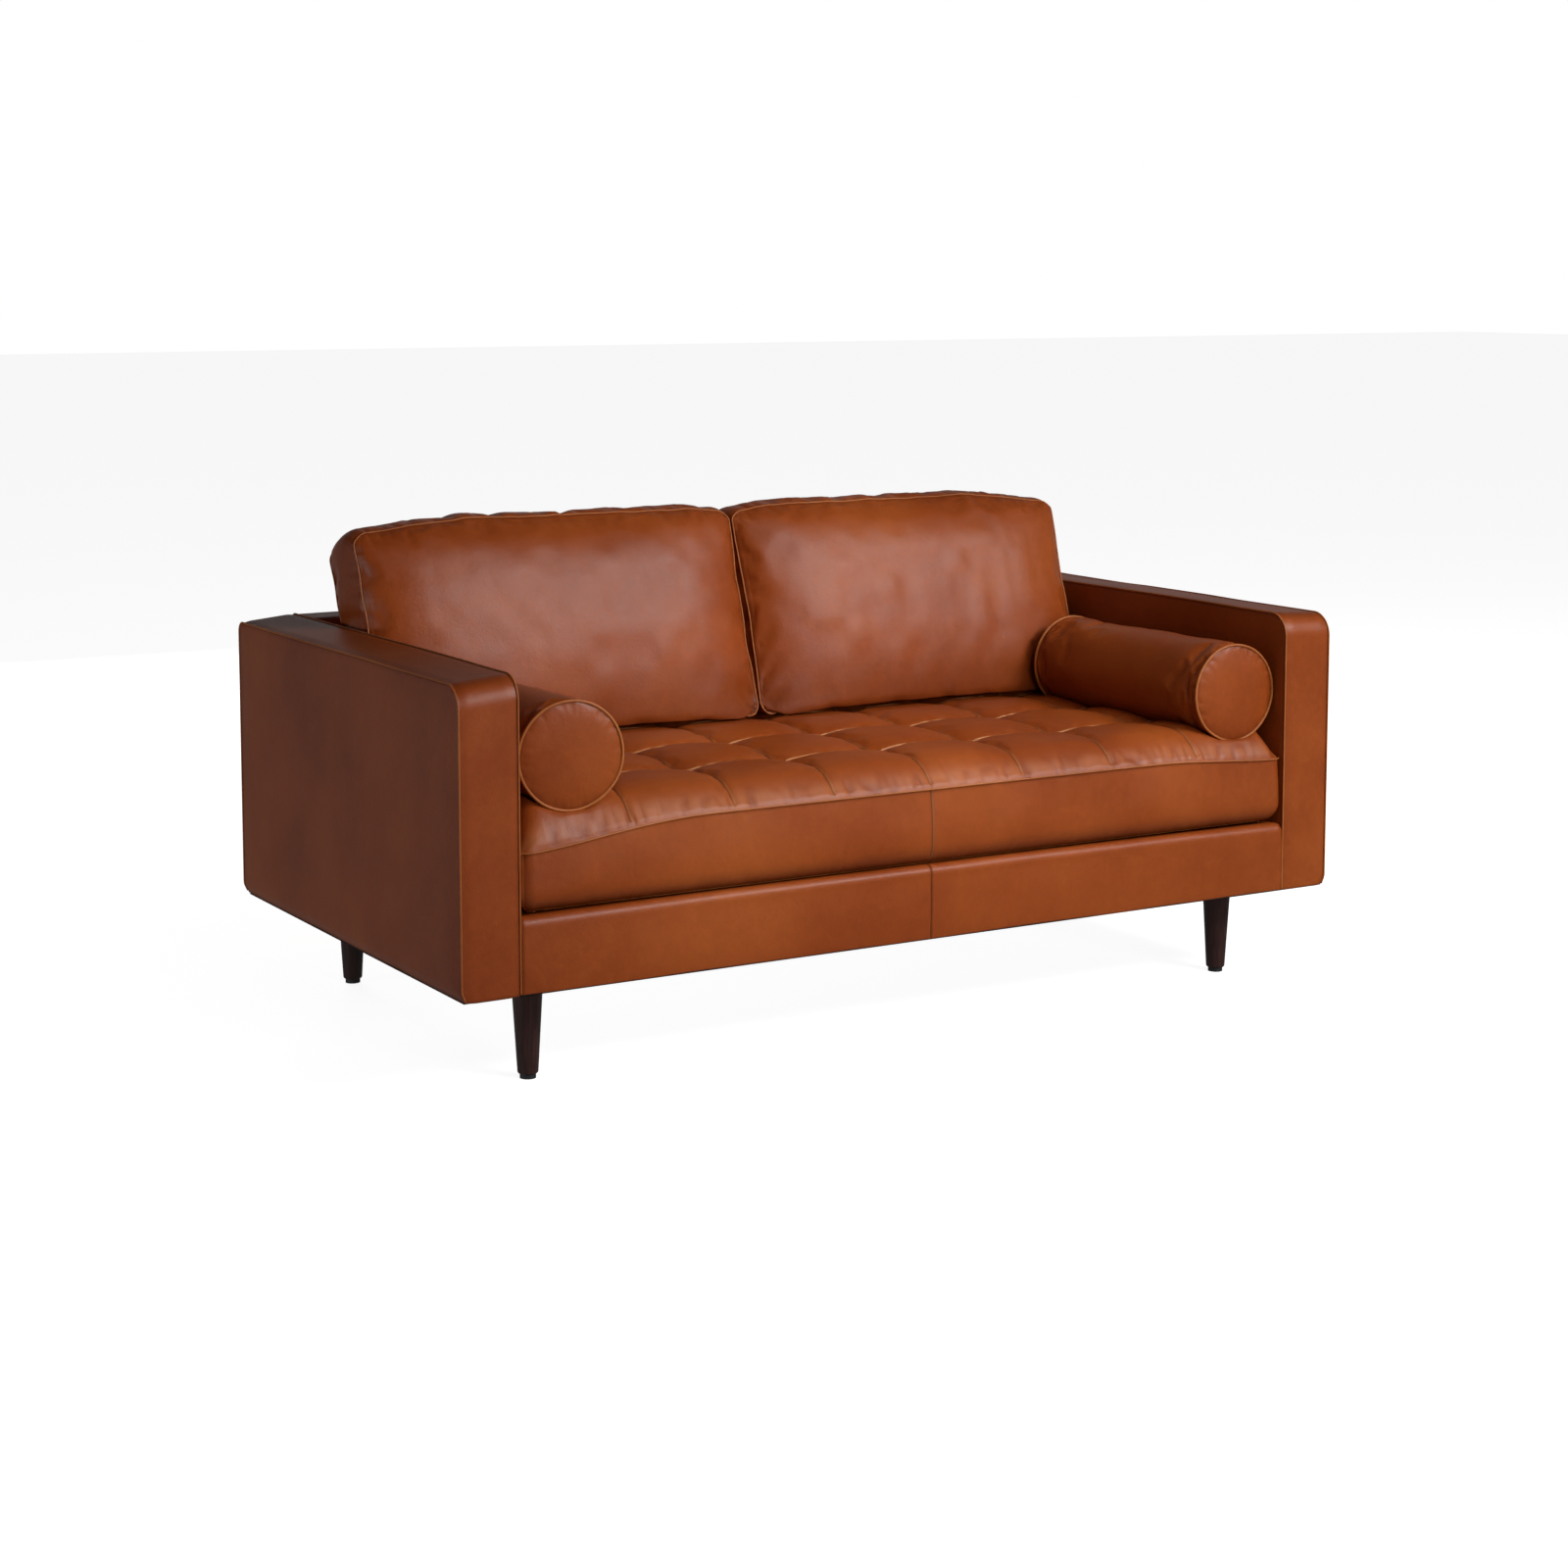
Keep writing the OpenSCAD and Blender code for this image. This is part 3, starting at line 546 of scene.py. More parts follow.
def woven(name, dark, light, scale=150.0):
    """Woven cloth: two crossed sets of threads."""
    material, tree, shader = new_material(name)
    place = object_place(tree)
    threads = [texture(tree, "Wave", place, bands_direction=axis, Scale=scale,
                       Distortion=0.4).outputs[0] for axis in ("X", "Y")]
    height = blend_colour(tree, 0.5, *threads)
    fuzz = texture(tree, "Noise", place, Scale=60.0, Detail=4.0)
    colour = blend_colour(tree, 1.0, ramp(tree, height, [(0.2, dark), (0.8, light)]),
                          ramp(tree, fuzz.outputs[0], [(0.3, 0.8), (0.7, 1.0)]), "MULTIPLY")
    surface(tree, shader, colour, [(height, 0.5, 0.0005)], Roughness=0.9, Sheen_Weight=0.04)
    return material


def brushed(name, colour, roughness):
    """Plated metal with fine wear marks."""
    material, tree, shader = new_material(name)
    marks = texture(tree, "Noise", object_place(tree), Scale=300.0, Detail=5.0).outputs[0]
    low = tuple(0.75 * c for c in colour[:3]) + (1,)
    surface(tree, shader, ramp(tree, marks, [(0.3, low), (0.7, colour)]),
            Roughness=ramp(tree, marks, [(0.3, roughness), (0.7, roughness + 0.2)]), Metallic=1.0)
    return material


RAW_WOOD = {"kind": "Noise", "stops": (0.3, 0.7), "bump": (0.3, 0.0006), "roughness": 0.75,
            "squeeze": (0.08, 1.0, 1.0), "Scale": 90.0, "Detail": 6.0, "Roughness": 0.65}
CELLS = {"kind": "Voronoi", "stops": (0.1, 0.7), "bump": (0.5, 0.001), "roughness": 0.95,
         "Scale": 420.0}
PLASTIC = {"kind": "Noise", "stops": (0.3, 0.7), "bump": (0.3, 0.0003), "roughness": 0.55,
           "Scale": 700.0, "Detail": 3.0}
TAN = leather("tan_leather", (0.230, 0.039, 0.0045, 1), (0.290, 0.055, 0.007, 1),
              (0.370, 0.082, 0.013, 1))
CORD = leather("piping_leather", (0.30, 0.078, 0.014, 1), (0.40, 0.115, 0.026, 1),
               (0.50, 0.165, 0.045, 1), roughness=0.5, grain=0.4)
SLOT_MATERIALS = {
    "leather": TAN,
    "piping": CORD,
    "leg_wood": stained_wood("espresso_wood", (0.022, 0.0085, 0.007, 1), (0.062, 0.024, 0.019, 1)),
    "frame_wood": grained("frame_timber", (0.36, 0.22, 0.10, 1), (0.62, 0.44, 0.24, 1), **RAW_WOOD),
    "fibreboard": grained("fibreboard", (0.20, 0.12, 0.06, 1), (0.32, 0.20, 0.11, 1), **RAW_WOOD),
    "foam": grained("foam", (0.62, 0.56, 0.40, 1), (0.82, 0.77, 0.62, 1), **CELLS),
    "fill": grained("fibre_fill", (0.70, 0.69, 0.66, 1), (0.88, 0.87, 0.84, 1), **CELLS),
    "cloth": woven("black_deck_cloth", (0.006, 0.006, 0.007, 1), (0.016, 0.016, 0.017, 1)),
    "webbing": woven("elastic_webbing", (0.05, 0.045, 0.04, 1), (0.25, 0.22, 0.18, 1), 100.0),
    "steel": brushed("plated_steel", (0.62, 0.62, 0.64, 1), 0.28),
    "zip": brushed("zip_metal", (0.42, 0.33, 0.20, 1), 0.35),
    "glide": grained("glide_plastic", (0.010, 0.010, 0.011, 1), (0.028, 0.028, 0.030, 1),
                     **PLASTIC)}


def paint_cad_nodes():
    """Gives every CAD node the detailed material of its slot."""
    for row in frame["record"]["subparts"]:
        slots = frame["nodes"][row["node"]].data.materials
        if len(slots) == 0:
            slots.append(None)
        for k in range(len(slots)):
            slots[k] = SLOT_MATERIALS[row["material_slot"]]


paint_cad_nodes()


def leather_piece(piece, body, nodes):
    """Says what a leather piece rides on and what it stands for."""
    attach(piece, body)
    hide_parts(*nodes)


def piping(name, label, path, radius, body, **options):
    """One run of piping along a path, which stands for the CAD piping of that name."""
    cord = tube(f"{name}_{label}_piping", path, radius, CORD, **options)
    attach(cord, body)
    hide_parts(name + "_piping")


# ---- Seat cushion ----

COLUMN_W = 0.2
ROW_D = 0.210
ROWS_Y = (-0.305, -0.095, 0.115, 0.325)
COLUMN_LINES = 50
ROW_LINES = (40, 36, 34, 18, 6)
SEAT_BOXING_LINES = 21
SEAT_CORNER_R = 0.025
TUFT_R = 4 * MM
FRONT_Y = -0.4                  # what lies before it is the front boxing
SEAT_W = SEAT_HI.x - SEAT_LO.x
SEAT_D = SEAT_HI.y - SEAT_LO.y
TUCK_H = 0.036                  # height over which the boxing turns in under, and how far
TUCK_IN = 0.033


def seat_lines():
    """Grid lines of the top panel, closer together at the tufting seams."""
    half = [-SEAT_W / 2] + [COLUMN_W * k for k in range(-3, 4)] + [SEAT_W / 2]
    rows = [SEAT_LO.y, *ROWS_Y, SEAT_HI.y]
    xs = [half[0]]
    for a, b in zip(half, half[1:]):
        xs += list(a + lines(b - a, (b - a) / COLUMN_LINES, 0.55)[1:])
    ys = [rows[0]]
    for a, b, n in zip(rows, rows[1:], ROW_LINES):
        ys += list(a + lines(b - a, (b - a) / n, 0.72)[1:])
    return np.array(xs), np.array(ys)


def seam_height(x):
    """Height of the top seam, which droops at both ends of the cushion."""
    left = 0.036 * smooth(-x, 0.42, 0.83) ** 1.3
    right = 0.015 * smooth(x, 0.50, 0.82)
    return SEAT_SEAM_Z - left - right


def tuft_depth(x, y):
    """Depth of the tufting below the crown, with how near a point is to a seam and its fold."""
    inner = np.clip(np.round(x / COLUMN_W), -3, 3)
    off_x = x - inner * COLUMN_W
    dx = np.abs(off_x)
    rows = np.array(ROWS_Y)
    nearest = np.argmin(np.abs(y[..., None] - rows), -1)
    off_y = y - rows[nearest]
    dy = np.abs(off_y)
    front = smooth(y, SEAT_LO.y, SEAT_LO.y + 0.012)
    sx = np.clip(dx / (COLUMN_W / 2), 0, 1)
    sy = np.clip(dy / (ROW_D / 2), 0, 1)
    slope = 0.45 + 0.55 * smooth(y, SEAT_LO.y, SEAT_LO.y + 0.10)
    column = (5.5 * (1 - sx) ** 2.2 + 7.0 * np.exp(-dx / TUFT_R)) * front * slope
    row = 6.0 * (1 - sy) ** 2.2 + 5.5 * np.exp(-dy / TUFT_R)
    r = np.hypot(dx, dy)
    knot = 12.0 * np.exp(-(r / 0.038) ** 1.25)
    depth = (column ** 2.2 + row ** 2.2) ** (1 / 2.2) + knot
    puckers = (1.6 * crease(y, inner * 0.61, 0.017, 6) * np.exp(-dx / 0.014) * front
               + 1.6 * crease(x, nearest * 0.53, 0.018, 7) * np.exp(-dy / 0.014))
    fold_x = 0.55 * bell(off_x - 2.8 * MM, 1.0 * MM) * front
    fold_y = bell(off_y - 3.4 * MM, 1.5 * MM)
    groove = np.maximum(bell(dx, 1.4 * MM) * front, bell(dy, 1.4 * MM))
    fold = np.maximum(fold_x, fold_y)
    return (depth + puckers - 1.1 * fold) * MM, groove, fold


def bolster_cradle(x, y):
    """Height that the bolsters press the seat's top down to."""
    lo, hi = BOLSTER_LO.y, BOLSTER_HI.y
    past = np.maximum(np.maximum(lo - y, y - hi), 0)
    reach = BOLSTER_R + 3.0 * MM
    off = np.abs(np.abs(x) - np.where(x < 0, BOLSTER_X[-1], BOLSTER_X[1]))
    under = BOLSTER_Z - np.sqrt(np.maximum(reach ** 2 - off ** 2, 0))
    return np.where(off < reach, under, BOLSTER_Z) + past * 1.6


def edge_rise(d, run, power=2.3):
    """Rounded rise from 0 on an edge to 1 at the run from it."""
    return 1 - (1 - np.clip(d / run, 0, 1)) ** power


def front_puckers(u, v):
    return crease(u, v * 0.35, 0.018, 8)


def seat_top(u, v, x, y):
    """Top of the seat cushion at grid place u, v, which lies at x, y."""
    rise = (edge_rise(v - SEAT_LO.y, 0.100, 3.0) * edge_rise(SEAT_HI.y - v, 0.06)
            * edge_rise(SEAT_W / 2 - np.abs(u), 0.055))
    seam_z = seam_height(x)
    z = seam_z + (SEAT_CREST_Z + 1.5 * MM - seam_z) * rise
    depth, groove, fold = tuft_depth(x, y)
    z = z - depth * smooth(rise, 0.0, 0.30)
    front = v - SEAT_LO.y
    side = SEAT_W / 2 - np.abs(u)
    for d, depth, puckers, reach, start in (
            (front, 3.6, front_puckers(u, v), 0.018, 0.003),
            (front, 1.2, crease(u * 1.3, v * 0.5, 0.024, 9), 0.04, 0.01),
            (side, 2.0, crease(v, u * 0.35, 0.017, 10), 0.018, 0.004)):
        z -= gathered(depth * MM * puckers, d, reach, start)
    z += (1.6 * noise2(x, y, 0.09, 1) + 0.6 * noise2(x, y, 0.035, 2)) * MM * rise
    return z, groove, fold


def on_seat(points):
    """Keeps the seat's top under the bolsters and under the back cushions."""
    x, y, z = points[..., 0], points[..., 1], points[..., 2]
    z = soft_min(z, bolster_cradle(x, y), 5 * MM)
    under_foot = FOOT_Z - 2.2 * MM + 0.25 * np.maximum(FOOT_Y - 0.052 - y, 0)
    return stack(x, y, soft_min(z, under_foot, 2 * MM))


def seat_cushion():
    xs, ys = seat_lines()
    u, v = np.meshgrid(xs, ys, indexing="ij")
    x, y = round_corners(u + SEAT_W / 2, v - SEAT_LO.y, SEAT_W, SEAT_D,
                        [SEAT_CORNER_R] * 4)
    x, y = x - SEAT_W / 2, y + SEAT_LO.y
    z, groove, fold = seat_top(u, v, x, y)
    front = v - SEAT_LO.y
    y = y - 3.0 * MM * smooth(front, 0, 0.007) * np.exp(-front / 0.020)
    top = stack(x, y, z)
    i, j = rim(*x.shape)
    edge = top[i, j]
    nu, nv = outward(edge[:, 0], edge[:, 1])
    s = run_length(edge)[:, None]
    t = lines(1.0, 1 / SEAT_BOXING_LINES)[None, :-1]
    low = SEAT_LO.z + 1 * MM
    height = edge[:, 2:3] - low
    above = (1 - t) * height
    d = np.minimum(t, 1 - t) * height
    puff = 5.0 * MM * np.sin(np.pi * t ** 1.4) ** 0.9
    puff = puff + (1.5 * noise2(s, t * 0.12, 0.10, 12) + 0.5 * noise2(s, t * 0.12, 0.04, 13)) \
        * MM * np.sin(np.pi * t)
    puff -= gathered(1.4 * MM * crease(s, t * 0.1, 0.022, 14), d, 0.016, 0.003)
    middle = bell(edge[:, :1], 2.6 * MM) * (edge[:, 1:2] < FRONT_Y)
    puff -= 1.8 * MM * middle * smooth(d, 0, 0.004)
    rear = (edge[:, 1:2] > SEAT_HI.y - 5 * MM).astype(float)
    puff = puff * (1 - rear) - 0.9 * MM * rear * smooth(d, 0, 0.03)
    side = (np.abs(edge[:, :1]) > SEAT_W / 2 - 3 * MM).astype(float)
    puff = puff * (1 - 0.7 * side)
    tuck = 1 - np.clip(above / TUCK_H, 0, 1)
    puff -= TUCK_IN * (1 - np.sqrt(np.maximum(1 - tuck * tuck, 0)))
    strip = stack(edge[:, :1] + nu[:, None] * puff, edge[:, 1:2] + nv[:, None] * puff,
                  edge[:, 2:3] - height * t)
    ends = []
    for step, drop in ((TUCK_IN + 1 * MM, 0.4 * MM), (TUCK_IN + 9 * MM, 1.2 * MM)):
        ring = stack(edge[:, 0] - nu * step, edge[:, 1] - nv * step,
                     low - drop)
        ends.append(ring[:, None])
    strip = np.concatenate([strip, *ends], 1)
    held_top = (groove > 0.98).astype(float)
    held_top[i, j] = 1.0
    held_strip = np.zeros(strip.shape[:2])
    held_strip[:, 0] = 1.0
    held_strip[:, -4:] = 1.0
    by_cloth, by_cloth_strip, _ = inflate_boxed(top, strip, None, (held_top, held_strip, None),
                                                *SEAT_CLOTH)
    top = on_seat(top + (0.25 + 0.35 * smooth(front, 0.02, 0.10))[..., None] * by_cloth)
    strip = strip + 0.12 * by_cloth_strip
    strip[:, 0] = top[i, j]
    strip[..., 0] = np.clip(strip[..., 0], -ARM_IN + 1 * MM, ARM_IN - 1 * MM)
    strip[..., 1] = np.minimum(strip[..., 1], SEAT_HI.y + 1 * MM)
    # Painted shade on the boxing: along the middle seam's groove and where it tucks under at the
    # bottom.
    below = np.concatenate([tuck, np.ones((len(edge), 2))], 1)
    painted_shade_strip = np.maximum(0.7 * middle, 0.8 * smooth(below, 0.35, 0.95))
    # Painted highlight on a ridge beside the boxing's middle seam.
    painted_highlight_strip = bell(edge[:, :1] - 2.4 * MM, 1.0 * MM) * (edge[:, 1:2] < FRONT_Y) \
        * np.ones_like(strip[:, :, 0])
    pucker = front_puckers(u, v)
    # Painted shade in the tufting grooves and in the pucker valleys by the front seam.
    painted_shade_top = np.maximum(groove, gathered(0.45 * pucker, front, 0.016, 0.003))
    # Painted highlight on the folds beside the tufting seams and on the pucker crests above the
    # front seam.
    painted_highlight_top = 0.9 * fold + 0.16 * (1 - pucker) ** 2 * bell(front - 0.012, 0.010)
    cushion = boxed_mesh("seat_cushion_leather", top, strip, None, TAN,
                         {"seam": (painted_shade_top, painted_shade_strip, None),
                          "painted_highlight": (painted_highlight_top, 0.3 * painted_highlight_strip, None)})
    leather_piece(cushion, "seat_cushion", ("seat_cushion_cover", "seat_cushion_core"))
    up = smooth_path(edge) + stack(nu, nv, 0.0) * 2.4 * MM
    for label, path in (("top", up), ("bottom", smooth_path(strip[:, -2]))):
        piping("seat_cushion", label, path, SEAM_CORD_R, "seat_cushion")


# ---- Back cushions ----

# Spaces between the lines of a panel, both ways, and of the boxing: even numbers, because the
# simulation takes every second line
BACK_GRID = (160, 88, 26)
BACK_CORNERS = (0.030, 0.026, 0.030, 0.026)
BACK_CROWN = 46 * MM
REAR_CROWN = 84 * MM
BELLY = 42 * MM


def edge_puckers(u, v, width, height, seed, amount, wave, reach):
    """Puckers that run in from the four edges of a panel."""
    total = 0.0
    for k, (d, s) in enumerate(((u, v), (width - u, v), (v, u), (height - v, u))):
        total = total + gathered(crease(s, d * 0.3 + k * 0.9, wave, seed + k), d, reach, 0.005)
    return amount * total


def pillow(a, b, power_a, power_b, shape):
    """Crown of a stuffed panel: 0 on its edges and 1 in the middle."""
    body = (1 - np.abs(a) ** power_a) * (1 - np.abs(b) ** power_b)
    return np.maximum(body, 0) ** shape


def back_cushion(side, name, seed, slim):
    """Back cushion on one side; slim is how far its outer edge stays inside its space."""
    width = CUSHION_HI.x - CUSHION_LO.x
    us = lines(width, width / BACK_GRID[0], 0.55)
    vs = lines(SLOPE_H, SLOPE_H / BACK_GRID[1], 0.55)
    gu, gv = np.meshgrid(us, vs, indexing="ij")
    u, v = round_corners(gu, gv, width, SLOPE_H, BACK_CORNERS)
    a, b = 2 * gu / width - 1, 2 * gv / SLOPE_H - 1
    high = smooth(gv / SLOPE_H, 0.4, 1.0)
    u_in = u - slim * smooth(a, -0.2, 1.0) * (0.94 + 0.06 * high) - 6 * MM * (1 - b * b) * a
    v_in = v - (19 * smooth(a, 0.35, 1.0) ** 1.4 + 9 * smooth(-a, 0.6, 1.0) ** 1.4) * MM * high
    top_near = np.exp(-(SLOPE_H - gv) / 0.03)
    v_in = v_in + (2.0 * noise2(u, 0 * u, 0.06, seed) + 1.4 * noise2(u, 0 * u, 0.024, seed + 1)) \
        * MM * top_near
    side_near = np.exp(-np.minimum(gu, width - gu) / 0.03)
    u_in = u_in + 2.0 * noise2(v, a, 0.05, seed + 2) * MM * side_near * (1 - np.abs(b) ** 4)
    foot_corner = smooth(np.abs(a), 0.86, 1.0)
    v_seam = v_in + 9 * MM * (1 - foot_corner) * np.exp(-gv / 0.03)
    belly = BELLY * smooth(gv, 0, 0.03) * bell(gv, 0.085) * (1 - foot_corner) ** 0.7
    roll = 6 * MM * (1 - np.abs(b) ** 6)
    roll_in = smooth(gu, 0, 0.018) * bell(gu, 0.05)
    roll_out = smooth(width - gu, 0, 0.018) * bell(width - gu, 0.05)
    roll_up = smooth(SLOPE_H - gv, 0, 0.018) * bell(SLOPE_H - gv, 0.045)

    full = pillow(a, np.maximum(b, 0), 5.0, 4.0, 0.52)
    crown = BACK_CROWN * full * (1 - np.maximum(-b, 0) ** 2.3) ** 0.75
    lift = np.minimum(np.minimum(gu, width - gu), np.minimum(gv, SLOPE_H - gv))
    crown += (0.5 * noise2(u, v, 0.19, seed + 3) + 0.12 * noise2(u, v, 0.06, seed + 4)) * MM \
        * smooth(lift, 0, 0.06)
    crown -= edge_puckers(gu, gv, width, SLOPE_H, seed + 20, 2.2 * MM, 0.021, 0.020)
    # corner_shade is painted shade in the corner folds, added to the front panel's colour.
    corner_shade = 0.0
    for cu, cv, depth in ((0, 0, 12), (width, 0, 8), (0, SLOPE_H, 5), (width, SLOPE_H, 3)):
        r = np.hypot(gu - cu, gv - cv)
        turn = np.arctan2(gv - cv, gu - cu)
        fold = crease(np.cos(turn) * 0.05 + cu, np.sin(turn) * 0.05 + cv, 0.022, seed + 5)
        near = np.exp(-(r / 0.045) ** 1.5) * smooth(lift, 0, 0.006)
        crown -= depth * MM * (0.40 + 0.60 * fold) * near
        corner_shade = corner_shade + 0.05 * depth * fold * near
    rim_wave = 1.8 * MM * noise2(u, v, 0.045, seed + 8)
    front = stack(u_in + roll * (roll_out - roll_in), v_seam - belly + 4 * MM * roll_up,
                  rim_wave - crown)

    rear_crown = REAR_CROWN * pillow(a, b, 3.6, 2.8, 0.62)
    rear_crown -= edge_puckers(gu, gv, width, SLOPE_H, seed + 40, 2.3 * MM, 0.021, 0.026)
    back = stack(u_in, v_seam, BOXING_T + rear_crown)

    i, j = rim(*gu.shape)
    edge_u, edge_v = u_in[i, j], v_seam[i, j]
    nu, nv = outward(edge_u, edge_v)
    s = run_length(stack(edge_u, edge_v))[:, None]
    ts = lines(1.0, 1 / BACK_GRID[2], 0.6)[None, :]
    t = ts * BOXING_T + (1 - ts) * rim_wave[i, j][:, None]
    d = np.minimum(ts, 1 - ts) * BOXING_T
    top_part = smooth(edge_v, SLOPE_H * 0.55, SLOPE_H)[:, None] * np.abs(nv)[:, None]
    swell = (7 + 13 * top_part) * MM * np.sin(np.pi * ts) ** 0.62
    swell = swell + (1.5 + 1.5 * top_part) * MM * noise2(s, t, 0.05, seed + 6) * np.sin(np.pi * ts)
    swell -= gathered((2.4 + 1.6 * top_part) * MM * crease(s, d * 0.3, 0.025, seed + 7),
                      d, 0.028, 0.004)
    strip = stack(edge_u[:, None] + nu[:, None] * swell, edge_v[:, None] + nv[:, None] * swell,
                  t)

    def place(p):
        """From the cushion's own frame to the right half of the sofa, with a level foot."""
        pu, pv, pt = p[..., 0], p[..., 1], p[..., 2]
        low = 1 - np.clip(pv / SLOPE_H, 0, 1)
        pv = pv + low * np.clip(pt, 0, BOXING_T) * math.tan(LEAN)
        return stack(CUSHION_LO.x + pu,
                     FOOT_Y + pt * math.cos(LEAN) + pv * math.sin(LEAN),
                     FOOT_Z - pt * math.sin(LEAN) + pv * math.cos(LEAN))

    def fit(p):
        """Rests the cushion on the seat, against the back and beside its neighbours."""
        x, y, z = p[..., 0], p[..., 1], p[..., 2]
        y = soft_min(y, BACK_IN_Y - 2.5 * MM, 10 * MM)
        z = -soft_min(-z, -(FOOT_Z - 0.4 * MM), 5 * MM)
        x = -soft_min(-x, -CUSHION_LO.x + 1.6 * MM, 2 * MM)
        x = soft_min(x, CUSHION_HI.x + 0.9 * MM, 2 * MM)
        return stack(side * x, y, z)

    grids = [place(front), place(strip), place(back)]
    held = [np.zeros(grid.shape[:2]) for grid in grids]
    for grid in (held[0], held[2]):
        grid[i, j] = 1.0
    moves = inflate_boxed(*grids, held, *BACK_CLOTH)
    middle = smooth(lift, 0.010, 0.060)
    moves = [calmed(moves[0], middle, 150), moves[1], calmed(moves[2], 0.6 * middle)]
    front_w, strip_w, back_w = (fit(grid + move) for grid, move in zip(grids, moves))
    # Painted shade: darker beside the seams, in the corner folds, and towards the bottom of the
    # front panel.
    painted_shade_rear = beside(lift, 0.5)
    painted_shade_front = painted_shade_rear + corner_shade + 0.50 * smooth(-b, 0.25, 1.0)
    painted_shade_strip = beside(d, 0.5) * np.ones_like(s)
    cushion = boxed_mesh(name + "_leather", front_w, strip_w, back_w, TAN,
                         {"seam": (painted_shade_front, painted_shade_strip, painted_shade_rear)})
    leather_piece(cushion, name, (name + "_cover", name + "_fill"))
    for label, panel, shift in (("front", front_w, -1), ("rear", back_w, 1)):
        path = smooth_path(panel[i, j], 1)
        out = stack(side * nu, shift * 0.6 * math.cos(LEAN) + nv * math.sin(LEAN),
                    nv * math.cos(LEAN) - shift * 0.6 * math.sin(LEAN))
        piping(name, label, path + out * 1.1 * MM, SEAM_CORD_R, name)


# ---- Bolsters ----

BOLSTER_GRID = (160, 88)
CAP_RINGS = np.array([0.985, 0.96, 0.93, 0.89, 0.84, 0.78, 0.71, 0.63, 0.54, 0.44, 0.33, 0.22,
                      0.11, 0.035])


def capped_mesh(name, body, caps, material, marks):
    """Closed tube with its two end caps; each cap is rings from its seam to its middle."""
    around, rings = body.shape[:2]
    index = np.arange(around * rings).reshape(around, rings)
    faces = [*quads(np.vstack([index, index[:1]]))]
    count = index.size
    for cap, end in zip(caps, (0, rings - 1)):
        inner = count + np.arange(around * cap.shape[1]).reshape(around, -1)
        count += inner.size
        ring = np.hstack([index[:, end:end + 1], inner])
        faces += [*quads(np.vstack([ring, ring[:1]])), list(inner[:, -1])]
    points = np.vstack([body.reshape(-1, 3), *[cap.reshape(-1, 3) for cap in caps]])
    return make_object(name, points, faces, material, marks)


def inflate_capped(body, caps, growth, limit):
    """Moves for a tube and its caps, simulated on every second line of each."""
    body, caps = body[::2, ::2], [cap[::2, 1::2] for cap in caps]
    held = np.zeros(body.shape[:2])
    held[:, [0, -1]] = 1.0
    cover = capped_mesh("simulated_bolster", body, caps, None, {})
    pins = np.concatenate([held.ravel(), *[np.zeros(cap.size // 3) for cap in caps]])
    moves = inflate(cover, pins, growth, limit)
    on_body = moves[:held.size].reshape(body.shape)
    rest = moves[held.size:].reshape(2, *caps[0].shape)
    on_caps = [refined(np.concatenate([on_body[:, end:][:, :1], rest[k]], 1), closed=True)[:, 1:]
               for k, end in ((0, 0), (1, body.shape[1] - 1))]
    return refined(on_body, closed=True), on_caps


